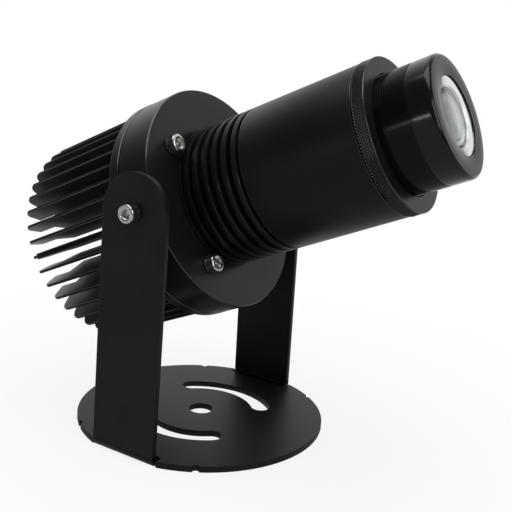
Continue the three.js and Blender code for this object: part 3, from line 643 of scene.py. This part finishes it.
# Socket cap screws
SCREW_HEAD_RADIUS = 4.25
SCREW_HEAD_HEIGHT = 5.0
SCREW_SHANK_RADIUS = 2.5
SCREW_FOOT_EASE = 0.25
SCREW_TIP_EASE = 0.4
SCREW_TEETH = 48
SCREW_KNURL_DEPTH = 0.14
SCREW_KNURL_START = 0.7
SCREW_KNURL_END = 1.3
SCREW_KNURL_FADE = 0.2
SCREW_FACE_INNER = 3.0
SOCKET_TIP_DEPTH = 3.2
SOCKET_CORNERS = 6
# The head's rounded rim, as depths below its front and insets from its side
SCREW_RIM = ((0.55, 0.02), (0.2, 0.2), (0.0, 0.55))
# The socket's chamfer and walls, as widths across the flats and depths below the front
SOCKET_HEXAGONS = ((4.4, 0.18), (4.0, 0.45), (4.0, 2.5))


def nearest_corner(step, steps):
    """The number of the socket corner nearest to a step of a ring round it."""
    return int((step % steps + 0.5) / steps * SOCKET_CORNERS + 0.5) % SOCKET_CORNERS


def screw_head(seat):
    """The head of a cap screw along X: knurled side, rounded rim and hexagon socket."""
    front = seat + SCREW_HEAD_HEIGHT
    side = SCREW_HEAD_RADIUS
    count = SCREW_TEETH * STEPS_PER_TOOTH
    rows = [
        (seat, side - SCREW_FOOT_EASE, 0),
        (seat + SCREW_FOOT_EASE, side, 0),
        (seat + SCREW_KNURL_START, side, SCREW_KNURL_DEPTH),
        (front - SCREW_KNURL_END, side, SCREW_KNURL_DEPTH),
        (front - SCREW_KNURL_END + SCREW_KNURL_FADE, side, 0),
        *[(front - below, side - inwards, 0) for below, inwards in SCREW_RIM],
        (front, SCREW_FACE_INNER, 0),
    ]
    points = []
    for along, radius, groove in rows:
        # The first and last step of each tooth lie in the grooves beside it.
        radii = [radius - (groove if i % STEPS_PER_TOOTH in (0, 3) else 0) for i in range(count)]
        points += ring(along, radii)
    faces = bands(0, len(rows), count)

    socket = len(points)
    for across, depth in SOCKET_HEXAGONS:
        points += [(front - depth, y, z) for y, z in hexagon(across)]
    faces += bands(socket, len(SOCKET_HEXAGONS), SOCKET_CORNERS)
    tip = len(points)
    points.append((front - SOCKET_TIP_DEPTH, 0, 0))
    floor = tip - SOCKET_CORNERS
    faces += [(floor + i, floor + (i + 1) % SOCKET_CORNERS, tip) for i in range(SOCKET_CORNERS)]

    # The front face fans from each step of its inner ring to the nearest corner of the socket.
    face_ring = socket - count
    for i in range(count):
        corner, following = socket + nearest_corner(i, count), socket + nearest_corner(i + 1, count)
        faces.append((face_ring + i, face_ring + (i + 1) % count, following))
        if corner != following:
            faces.append((face_ring + i, following, corner))
    return points, faces


def cap_screw(seat, reach):
    """A socket cap screw along X, with its head on the seat and a shank that reaches back from it."""
    tip = seat - reach
    shank = lathe([
        (tip, 0),
        (tip, SCREW_SHANK_RADIUS - SCREW_TIP_EASE),
        (tip + SCREW_TIP_EASE, SCREW_SHANK_RADIUS),
        (seat, SCREW_SHANK_RADIUS),
        (seat, SCREW_HEAD_RADIUS - SCREW_FOOT_EASE),
    ], sides=32)
    return merged(screw_head(seat), shank)


# Tilt screws and their washers, on the pivot's axis
TILT_SCREW_REACH = 14
TILT_SCREW_SPIN = 0.35
WASHER_RADIUS = 6.5
WASHER_EASE = 0.25
SPOT_FACE_DEPTH = 0.5
ARM_OUTER = ARM_REACH - PIVOT_HEIGHT * math.tan(LEAN)
ARM_INNER = ARM_OUTER - SHEET / math.cos(LEAN)


def tilt_screw():
    """The screw along X, its head clear of the arm's leaning outer face."""
    seat = ARM_OUTER + SCREW_HEAD_RADIUS * math.tan(LEAN) + GAP
    return moved(cap_screw(seat, TILT_SCREW_REACH), Matrix.Rotation(TILT_SCREW_SPIN, 4, "X"))


def tilt_washer():
    """The washer between the housing's spot face and the arm's inner face."""
    inner = HOUSING_RADIUS - SPOT_FACE_DEPTH + GAP
    outer = ARM_INNER - WASHER_RADIUS * math.tan(LEAN) - GAP
    profile = [(inner, TILT_HOLE_RADIUS), (inner, WASHER_RADIUS), (outer, WASHER_RADIUS),
               (outer, TILT_HOLE_RADIUS)]
    return lathe(eased(profile, WASHER_EASE), sides=64)


for side, turn in (("right", -math.pi / 2), ("left", math.pi / 2)):
    sideways = Matrix.Rotation(turn, 4, "Z")
    make_piece("tilt_cap_screw_" + side, moved(tilt_screw(), sideways), "head", STEEL,
               ["tilt_screw_" + side])
    make_piece("tilt_washer_" + side, moved(tilt_washer(), sideways), "head", NYLON,
               ["tilt_spacer_" + side])


# Housing and its screws
HOUSING_REAR = -10
HOUSING_FRONT = 7.4
HOUSING_BORE = 36
HOUSING_MOUTH = 30
HOUSING_MOUTH_DEPTH = 6
HOUSING_CHAMFER_LENGTH = 0.5
HOUSING_CHAMFER_HEIGHT = 0.35
HOUSING_EASE = 0.35
HOUSING_SCREWS = 4
HOUSING_SCREW_CIRCLE = 40.5
HOUSING_SCREW_REACH = 22.5
HOUSING_SCREW_SPIN = 0.5
HOUSING_SCREW_SPIN_STEP = 0.7


def housing_screw(i):
    """One of the screws in the housing's front face, each with its socket turned its own way."""
    angle = (i + 0.5) / HOUSING_SCREWS * FULL_TURN + PATTERN_TURN
    across, up = HOUSING_SCREW_CIRCLE * math.cos(angle), HOUSING_SCREW_CIRCLE * math.sin(angle)
    spin = Matrix.Rotation(HOUSING_SCREW_SPIN + i * HOUSING_SCREW_SPIN_STEP, 4, "X")
    screw = cap_screw(HOUSING_FRONT + GAP, HOUSING_SCREW_REACH)
    return moved(screw, Matrix.Translation((0, across, up)) @ spin)


def housing():
    """The thick turned ring with its flat front face, bored out behind its mouth."""
    shoulder = HOUSING_FRONT - HOUSING_MOUTH_DEPTH
    edge = HOUSING_RADIUS - HOUSING_CHAMFER_HEIGHT
    return lathe(eased([
        (HOUSING_REAR, HOUSING_BORE),
        (HOUSING_REAR, edge, 0),
        (HOUSING_REAR + HOUSING_CHAMFER_LENGTH, HOUSING_RADIUS, 0),
        (HOUSING_FRONT - HOUSING_CHAMFER_LENGTH, HOUSING_RADIUS, 0),
        (HOUSING_FRONT, edge, 0),
        (HOUSING_FRONT, HOUSING_MOUTH),
        (shoulder, HOUSING_MOUTH),
        (shoulder, HOUSING_BORE),
    ], HOUSING_EASE), sides=256)


for i in range(HOUSING_SCREWS):
    make_piece("housing_cap_screw_%d" % (i + 1), housing_screw(i), "head", STEEL,
               ["housing_screw_%d" % (i + 1)])
make_piece("housing_ring", housing(), "head", RINGS, ["housing"], edges=CHAMFER_HIGHLIGHT)


# Heat sink
FLANGE_RADIUS = 54.8
FLANGE_FRONT = HOUSING_REAR - GAP
FLANGE_REAR = FLANGE_FRONT - 6
FLANGE_FRONT_CHAMFER = 0.35
FLANGE_REAR_CHAMFER_LENGTH = 1.5
FLANGE_REAR_CHAMFER_HEIGHT = 0.9
FIN_COUNT = 42
FIN_THICKNESS = 1.4
FIN_CORNER = 4.6
FIN_INNER = 31.0
FIN_EASE = 0.2
FIN_ROOT = 0.8
RECESS_RADIUS = 41.7
RECESS_END = -68.8
RECESS_SLANT = 1.4
THICK_FIN_THICKNESS = 2.9
THICK_FIN_SETBACK = 2.4


def flange():
    """The disc that carries the fins, with a wide chamfer at the rear and a small one in front."""
    return lathe([
        (FLANGE_REAR, 0),
        (FLANGE_REAR, FLANGE_RADIUS - FLANGE_REAR_CHAMFER_HEIGHT),
        (FLANGE_REAR + FLANGE_REAR_CHAMFER_LENGTH, FLANGE_RADIUS),
        (FLANGE_FRONT - FLANGE_FRONT_CHAMFER, FLANGE_RADIUS),
        (FLANGE_FRONT, FLANGE_RADIUS - FLANGE_FRONT_CHAMFER),
        (FLANGE_FRONT, 0),
    ], sides=256)


def fin(thickness, rear):
    """A fin with its place along the axis as X and its radius as Z, and a recess in its rear edge."""
    root = FLANGE_REAR + FIN_ROOT
    outline = [(root, FIN_INNER), (root, FIN_RADIUS)]
    outline += arc((rear + FIN_CORNER, FIN_RADIUS - FIN_CORNER), FIN_CORNER, math.pi / 2, math.pi, 10)
    outline += [(rear, RECESS_RADIUS), (RECESS_END, RECESS_RADIUS), (RECESS_END + RECESS_SLANT, FIN_INNER)]
    points, faces = plate(outline, [], thickness, FIN_EASE, CHAMFERED)
    return [(along, height - thickness / 2, radius) for along, radius, height in points], faces


def fins():
    """All fins round the axis, and a thicker rib over the first and the one opposite."""
    thin = fin(FIN_THICKNESS, FIN_REAR)
    thick = fin(THICK_FIN_THICKNESS, FIN_REAR + THICK_FIN_SETBACK)
    shapes = []
    for i in range(FIN_COUNT):
        # A fin stands along Z, and the pattern's angles start at Y.
        turn = Matrix.Rotation(i / FIN_COUNT * FULL_TURN + PATTERN_TURN - math.pi / 2, 4, "X")
        shapes.append(moved(thin, turn))
        if i % (FIN_COUNT // 2) == 0:
            shapes.append(moved(thick, turn))
    return merged(*shapes)


make_piece("heat_sink_flange", flange(), "head", RINGS, edges=CHAMFER_HIGHLIGHT)
make_piece("finned_heat_sink", fins(), "head", FINS, ["heat_sink"], edges=FIN_EDGE_HIGHLIGHT,
           eased_face=narrow)


# Main tube
TUBE_RADIUS = 34.2
TUBE_REAR = -2.5
TUBE_FRONT = 98.0
TUBE_SPIGOT = 29.7
TUBE_SHOULDER = HOUSING_FRONT + GAP
GROOVE_RADIUS = 29.0
FIRST_GROOVE = 9.0
FIRST_RIB = 10.5
RIB_COUNT = 6
RIB_PITCH = 5.5
RIB_WIDTH = 2.6
NECK_END = 42.3
TUBE_EASE = 0.3
REAR_BORE = 26
REAR_BORE_END = 10.5
FRONT_BORE = 27.0
FRONT_BORE_END = 80
MIDDLE_BORE = 30
MIDDLE_BORE_END = 46
NECK_BORE = 23


def main_tube():
    """Ribbed neck and smooth barrel in one turned piece, with its bores."""
    profile = [
        (TUBE_REAR, REAR_BORE),
        (TUBE_REAR, TUBE_SPIGOT),
        (TUBE_SHOULDER, TUBE_SPIGOT, 0),
        (TUBE_SHOULDER, TUBE_RADIUS),
        (FIRST_GROOVE, TUBE_RADIUS),
        (FIRST_GROOVE, GROOVE_RADIUS, 0),
    ]
    for i in range(RIB_COUNT):
        rear = FIRST_RIB + i * RIB_PITCH
        front = rear + RIB_WIDTH
        profile += [(rear, GROOVE_RADIUS, 0), (rear, TUBE_RADIUS, 0.5), (front, TUBE_RADIUS, 0.5),
                    (front, GROOVE_RADIUS, 0)]
    profile += [
        (NECK_END, GROOVE_RADIUS, 0),
        (NECK_END, TUBE_RADIUS),
        (TUBE_FRONT, TUBE_RADIUS),
        (TUBE_FRONT, FRONT_BORE),
        (FRONT_BORE_END, FRONT_BORE),
        (FRONT_BORE_END, MIDDLE_BORE),
        (MIDDLE_BORE_END, MIDDLE_BORE),
        (MIDDLE_BORE_END, NECK_BORE),
        (REAR_BORE_END, NECK_BORE),
        (REAR_BORE_END, REAR_BORE),
    ]
    return lathe(eased(profile, TUBE_EASE), sides=256)


make_piece("lens_tube", main_tube(), "tube", TUBE, ["main_tube"], edges=CHAMFER_HIGHLIGHT)


# Knurled ring
RING_REAR = TUBE_FRONT + GAP
RING_FRONT = 104.2
RING_RADIUS = 34.5
RING_BORE = 27.2
RING_TEETH = 160
RING_ROWS = 20
RING_PLAIN = 0.7
KNURL_SHRINK = 0.02
KNURL_DEPTH = 0.6
# The rounded lips, as distances from the ring's end and insets from its side
REAR_LIP = ((0, 0.5), (0.25, 0.2), (0.55, 0))
FRONT_LIP = ((0.5, 0), (0.22, 0.08), (0.06, 0.25), (0, 0.5))


def knurled_row(along, from_start):
    """One ring of the diamond knurl: two sets of grooves that wind opposite ways round the side."""
    shift = from_start / (FULL_TURN * RING_RADIUS / RING_TEETH)
    radii = []
    for i in range(RING_TEETH * STEPS_PER_TOOTH):
        one, other = [abs((i / STEPS_PER_TOOTH + way * shift) % 1 * 2 - 1) for way in (1, -1)]
        radii.append(RING_RADIUS - KNURL_SHRINK - KNURL_DEPTH * max(one, other))
    return ring(along, radii)


def knurled_ring():
    """The lock ring: a rounded lip at both ends and a diamond knurl between them."""
    count = RING_TEETH * STEPS_PER_TOOTH
    start, end = RING_REAR + RING_PLAIN, RING_FRONT - RING_PLAIN
    points = ring(RING_REAR, [RING_BORE] * count)
    for distance, inwards in REAR_LIP:
        points += ring(RING_REAR + distance, [RING_RADIUS - inwards] * count)
    for k in range(RING_ROWS + 1):
        along = start + (end - start) * k / RING_ROWS
        points += knurled_row(along, along - start)
    for distance, inwards in FRONT_LIP:
        points += ring(RING_FRONT - distance, [RING_RADIUS - inwards] * count)
    for along in (RING_FRONT, RING_REAR):
        points += ring(along, [RING_BORE] * count)
    return points, bands(0, len(points) // count, count)


make_piece("knurled_lock_ring", knurled_ring(), "knurled_ring", RINGS, ["lock_ring"],
           sharp=12, edges=CHAMFER_HIGHLIGHT)


# Focus barrel
BARREL_RADIUS = 26.7
BARREL_REAR = 78
BARREL_FRONT = 128.8
BARREL_BORE = 23
BARREL_MOUTH = 17.3
BARREL_LIP = 127.6
THREAD_START = 79.0
THREAD_END = 118.0
THREAD_PITCH = 0.75
THREAD_DEPTH = 0.55
UNDERCUT_DEPTH = 0.3
UNDERCUT_WIDTH = 0.3
UNDERCUT_END = THREAD_END + 0.5
BARREL_EASE = 0.35
# A row of points this far in front of the undercut keeps the smooth head's shading even.
SHADING_ROW = 0.7
# The rounded front edge, as distances behind the front and insets from the side
BARREL_NOSE = ((2.6, 0), (1.7, 0.03), (1.1, 0.18), (0.4, 0.7))
BARREL_NOSE_DEPTH = 1.3


def thread_turn(i):
    """Profile points of one turn of the thread: its flat crest, and the groove in front of it."""
    start = THREAD_START + i * THREAD_PITCH
    crest, groove = BARREL_RADIUS, BARREL_RADIUS - THREAD_DEPTH
    return [(start + share * THREAD_PITCH, radius, 0)
            for share, radius in ((0, crest), (0.4, crest), (0.6, groove), (0.8, groove))]


def focus_barrel():
    """The barrel: fine thread, narrow undercut, smooth head with a round edge, and flat front face."""
    profile = [(BARREL_REAR, BARREL_BORE), (BARREL_REAR, BARREL_RADIUS)]
    for i in range(int((THREAD_END - THREAD_START) / THREAD_PITCH)):
        profile += thread_turn(i)
    profile += [
        (THREAD_END, BARREL_RADIUS - UNDERCUT_DEPTH, 0),
        (THREAD_END + UNDERCUT_WIDTH, BARREL_RADIUS - UNDERCUT_DEPTH, 0),
        (UNDERCUT_END, BARREL_RADIUS, 0.3),
        (UNDERCUT_END + SHADING_ROW, BARREL_RADIUS, 0),
        *[(BARREL_FRONT - behind, BARREL_RADIUS - inwards, 0) for behind, inwards in BARREL_NOSE],
        (BARREL_FRONT, BARREL_RADIUS - BARREL_NOSE_DEPTH, 0.2),
        (BARREL_FRONT, BARREL_MOUTH, 0.5),
        (BARREL_LIP, BARREL_MOUTH, 0.3),
        (BARREL_LIP, BARREL_BORE),
    ]
    return lathe(eased(profile, BARREL_EASE), sides=192)


make_piece("threaded_barrel", focus_barrel(), "barrel", BARREL, ["focus_barrel"])


# Lenses of the objective, and the bright ring that the front one sits in
LENS_STEPS = 20
LENS_ANGLE = 60


def dome(place, radius, sag):
    """Half section of a lens face from its middle to its rim, bulging along X by the sag."""
    shares = [k / LENS_STEPS for k in range(LENS_STEPS + 1)]
    return [(place + sag * (1 - share * share), radius * share) for share in shares]


def lens(rear, front, radius, rear_sag, front_sag):
    """A lens along X, with the places of its two rims and how far each side bulges."""
    return lathe(dome(rear, radius, -rear_sag) + dome(front, radius, front_sag)[::-1], sides=128)


def seat_ring():
    """The ring behind the front lens: a thin lip in front, and a dish that slopes in from it to the bore."""
    rear, front, lip = 122.2, 127.3, 127.6
    outer, bore = 22.6, 12.6
    lip_foot, lip_outer, lip_inner = 17.1, 17.0, 16.6
    dish, dish_depth, bore_ease = 13.2, 0.2, 0.7
    return lathe([
        (rear, bore),
        (rear, outer),
        (front, outer),
        (front, lip_foot),
        (lip, lip_outer),
        (lip, lip_inner),
        (front - dish_depth, dish),
        (front - bore_ease, bore),
        (rear, bore),
    ], sides=160)


front_lens = lens(rear=127.8, front=128.15, radius=17.0, rear_sag=0.0, front_sag=0.5)
second_lens = lens(rear=122.4, front=125.6, radius=11.9, rear_sag=0.0, front_sag=1.3)
rear_lens = lens(rear=98.3, front=102.3, radius=22.7, rear_sag=3.0, front_sag=0.0)
make_piece("front_lens", front_lens, "objective", GLASS, ["objective_front_lens"],
           sharp=LENS_ANGLE, flat_triangles=False)
make_piece("lens_seat_ring", seat_ring(), "objective", BARE)
make_piece("second_lens", second_lens, "objective", PALE_GLASS, sharp=LENS_ANGLE,
           flat_triangles=False)
make_piece("rear_lens", rear_lens, "objective", GLASS, ["objective_rear_lens"],
           sharp=LENS_ANGLE, flat_triangles=False)


# Cable gland, below the lamp's axis
GLAND = Matrix.Translation((0, 0, -21.8))
GLAND_ACROSS = 15
GLAND_BORE = 4.0
NUT_REAR = -34.8
NUT_FRONT = -21.4
COLLAR_REAR = NUT_FRONT + GAP
COLLAR_FRONT = -16.6
GLAND_THREAD_FRONT = -11.1
GLAND_THREAD_RADIUS = 5.7
GLAND_THREAD_EASE = 0.3
NUT_EASE = 0.6
COLLAR_EASE = 0.5


def hexagon_bar(rear, front, ease):
    """A hexagon bar along X with the gland's bore through it."""
    bore = circle((0, 0), GLAND_BORE, 48, clockwise=True)
    points, faces = plate(hexagon(GLAND_ACROSS), [bore], front - rear, ease)
    return [(height + rear, x, y) for x, y, height in points], faces


def gland_collar():
    """The gland's hexagon collar, and its threaded end in the flange."""
    thread = [(COLLAR_FRONT, GLAND_BORE), (COLLAR_FRONT, GLAND_THREAD_RADIUS),
              (GLAND_THREAD_FRONT, GLAND_THREAD_RADIUS), (GLAND_THREAD_FRONT, GLAND_BORE)]
    bar = hexagon_bar(COLLAR_REAR, COLLAR_FRONT, COLLAR_EASE)
    return merged(bar, lathe(eased(thread, GLAND_THREAD_EASE), sides=48))


gland_nut = hexagon_bar(NUT_REAR, NUT_FRONT, NUT_EASE)
make_piece("gland_cap", moved(gland_nut, GLAND), "head", NYLON, ["gland_nut"])
make_piece("gland_collar", moved(gland_collar(), GLAND), "head", NYLON, ["gland_body"])


# Camera at the photograph's viewing angle, with its place in metres
CAMERA_PLACE = (0.216031, -0.311857, 0.170960)
CAMERA_AZIMUTH = 0.5443
CAMERA_ELEVATION = 0.2182
CAMERA_ROLL = 0.0703
FOCAL_PIXELS = 770.434
PICTURE_PIXELS = 512.0
SENSOR_WIDTH = 36.0


def camera_axes():
    """Directions to the right, upwards and backwards in the picture."""
    ground = math.cos(CAMERA_ELEVATION)
    back = Vector((math.sin(CAMERA_AZIMUTH) * ground, -math.cos(CAMERA_AZIMUTH) * ground,
                   math.sin(CAMERA_ELEVATION)))
    level = Vector((math.cos(CAMERA_AZIMUTH), math.sin(CAMERA_AZIMUTH), 0))
    upright = back.cross(level)
    right = level * math.cos(CAMERA_ROLL) + upright * math.sin(CAMERA_ROLL)
    up = upright * math.cos(CAMERA_ROLL) - level * math.sin(CAMERA_ROLL)
    return right, up, back


def make_camera():
    data = bpy.data.cameras.new("camera")
    data.sensor_width = SENSOR_WIDTH
    data.lens = FOCAL_PIXELS * SENSOR_WIDTH / PICTURE_PIXELS
    data.clip_start = 0.02
    data.clip_end = 20.0
    camera = bpy.data.objects.new("camera", data)
    bpy.context.scene.collection.objects.link(camera)
    camera.matrix_world = Matrix.Translation(CAMERA_PLACE) @ Matrix(camera_axes()).transposed().to_4x4()
    bpy.context.scene.camera = camera


make_camera()


# Floor, world and lamps, in metres and watts
# Reflections show the studio brighter behind the object and in a window at the right.
BEHIND = (-0.60, 0.79, 0.10)
RIGHT_WINDOW = (0.517, 0.856, 0.0)
WINDOW_SIDE = (0.856, -0.517, 0.0)
EVEN_LIGHT = 0.35
FLOOR_HALF = 4
FLOOR_HEIGHT = -0.0002


def patch(tree, vector, towards, low, high, start, end):
    """A number that goes from low to high towards one direction of the studio."""
    dot = add(tree, "VectorMath", operation="DOT_PRODUCT")
    dot.inputs[1].default_value = towards
    tree.links.new(vector, dot.inputs[0])
    return spread(tree, dot.outputs["Value"], low, high, start, end, interpolation_type="SMOOTHSTEP")


def glowing(tree, shader, share, strength=None):
    """The shader with a white glow mixed in by the share, at full strength where none is given."""
    glow = add(tree, "Emission")
    if strength is not None:
        tree.links.new(strength, glow.inputs["Strength"])
    mix = add(tree, "MixShader")
    for socket, value in zip(mix.inputs, (share, shader, glow.outputs[0])):
        tree.links.new(value, socket)
    return mix.outputs[0]


def pale_floor():
    """A matt pale floor, which shows white to the camera further out and reflects as part of the studio."""
    mat, tree, shader = new_material("pale_floor")
    shader.inputs["Base Color"].default_value = (0.9, 0.9, 0.9, 1)
    shader.inputs["Roughness"].default_value = 0.8
    shader.inputs["Specular IOR Level"].default_value = 0.1
    rays = add(tree, "LightPath").outputs
    point = add(tree, "TexCoord").outputs["Object"]
    distance = add(tree, "VectorMath", operation="LENGTH")
    tree.links.new(point, distance.inputs[0])
    outer = spread(tree, distance.outputs["Value"], low=0.84, high=1.0, start=0.1, end=0.28)
    seen = calculate(tree, "MULTIPLY", rays["Is Camera Ray"], outer)
    seen = calculate(tree, "MAXIMUM", seen, rays["Is Transmission Ray"])
    reflected = patch(tree, point, BEHIND, low=0.4, high=0.9, start=-0.05, end=0.3)
    surface = glowing(tree, shader.outputs[0], seen)
    surface = glowing(tree, surface, rays["Is Glossy Ray"], reflected)
    tree.links.new(surface, tree.nodes["Material Output"].inputs["Surface"])
    return mat


def make_floor():
    mesh = bpy.data.meshes.new("floor")
    corners = [(-1, -1), (1, -1), (1, 1), (-1, 1)]
    points = [(x * FLOOR_HALF, y * FLOOR_HALF, FLOOR_HEIGHT) for x, y in corners]
    mesh.from_pydata(points, [], [(0, 1, 2, 3)])
    mesh.materials.append(pale_floor())
    floor = bpy.data.objects.new("floor", mesh)
    bpy.context.scene.collection.objects.link(floor)


def studio_reflection(tree, directions):
    """What a glossy surface sees: a bright side behind the object, and a window with a glow round it."""
    behind = patch(tree, directions, BEHIND, low=0.08, high=1.0, start=0.35, end=0.9)
    glow = patch(tree, directions, RIGHT_WINDOW, low=0.0, high=0.34, start=0.75, end=0.92)
    window = patch(tree, directions, RIGHT_WINDOW, low=0.0, high=1.0, start=0.5, end=0.65)
    for sign in (1, -1):
        side = tuple(sign * value for value in WINDOW_SIDE)
        edge = patch(tree, directions, side, low=1.0, high=0.0, start=0.15, end=0.26)
        window = calculate(tree, "MULTIPLY", window, edge)
    return calculate(tree, "MAXIMUM", calculate(tree, "MAXIMUM", behind, window), glow)


def make_world():
    """White to the camera and through glass, the studio in reflections, and a low even light otherwise."""
    world = bpy.data.worlds.new("studio")
    bpy.context.scene.world = world
    world.use_nodes = True
    tree = world.node_tree
    sky = tree.nodes["Background"]
    rays = add(tree, "LightPath").outputs
    directions = add(tree, "TexCoord").outputs["Generated"]
    seen = calculate(tree, "MAXIMUM", rays["Is Camera Ray"], rays["Is Transmission Ray"])
    reflected = calculate(tree, "MULTIPLY", rays["Is Glossy Ray"], studio_reflection(tree, directions))
    even = calculate(tree, "MULTIPLY", calculate(tree, "SUBTRACT", 1.0, rays["Is Glossy Ray"]), EVEN_LIGHT)
    strength = calculate(tree, "MAXIMUM", seen, calculate(tree, "MAXIMUM", reflected, even))
    sky.inputs["Color"].default_value = (1, 1, 1, 1)
    tree.links.new(strength, sky.inputs["Strength"])


def make_lamp(name, place, aim, width, height, watts, glossy=True):
    data = bpy.data.lights.new(name, "AREA")
    data.shape = "RECTANGLE"
    data.size, data.size_y = width, height
    data.energy = watts
    lamp = bpy.data.objects.new(name, data)
    bpy.context.scene.collection.objects.link(lamp)
    lamp.location = place
    lamp.rotation_mode = "QUATERNION"
    lamp.rotation_quaternion = (Vector(aim) - Vector(place)).to_track_quat("-Z", "Y")
    lamp.visible_glossy = glossy


make_floor()
make_world()
make_lamp("lamp_top", (-0.1, -0.1, 1.6), (0, 0, 0.1), width=1.4, height=1.4, watts=14)
make_lamp("lamp_front", (-0.36, -1.5, 0.24), (0.09, 0, 0.15), width=0.34, height=0.03, watts=0.65)
make_lamp("lamp_left", (-1.3, -0.5, 0.9), (0, 0, 0.1), width=0.5, height=0.7, watts=1.2, glossy=False)
make_lamp("lamp_right", (1.2, -0.3, 0.8), (0, 0, 0.12), width=0.6, height=0.8, watts=3)
bpy.context.scene.view_settings.view_transform = "Standard"
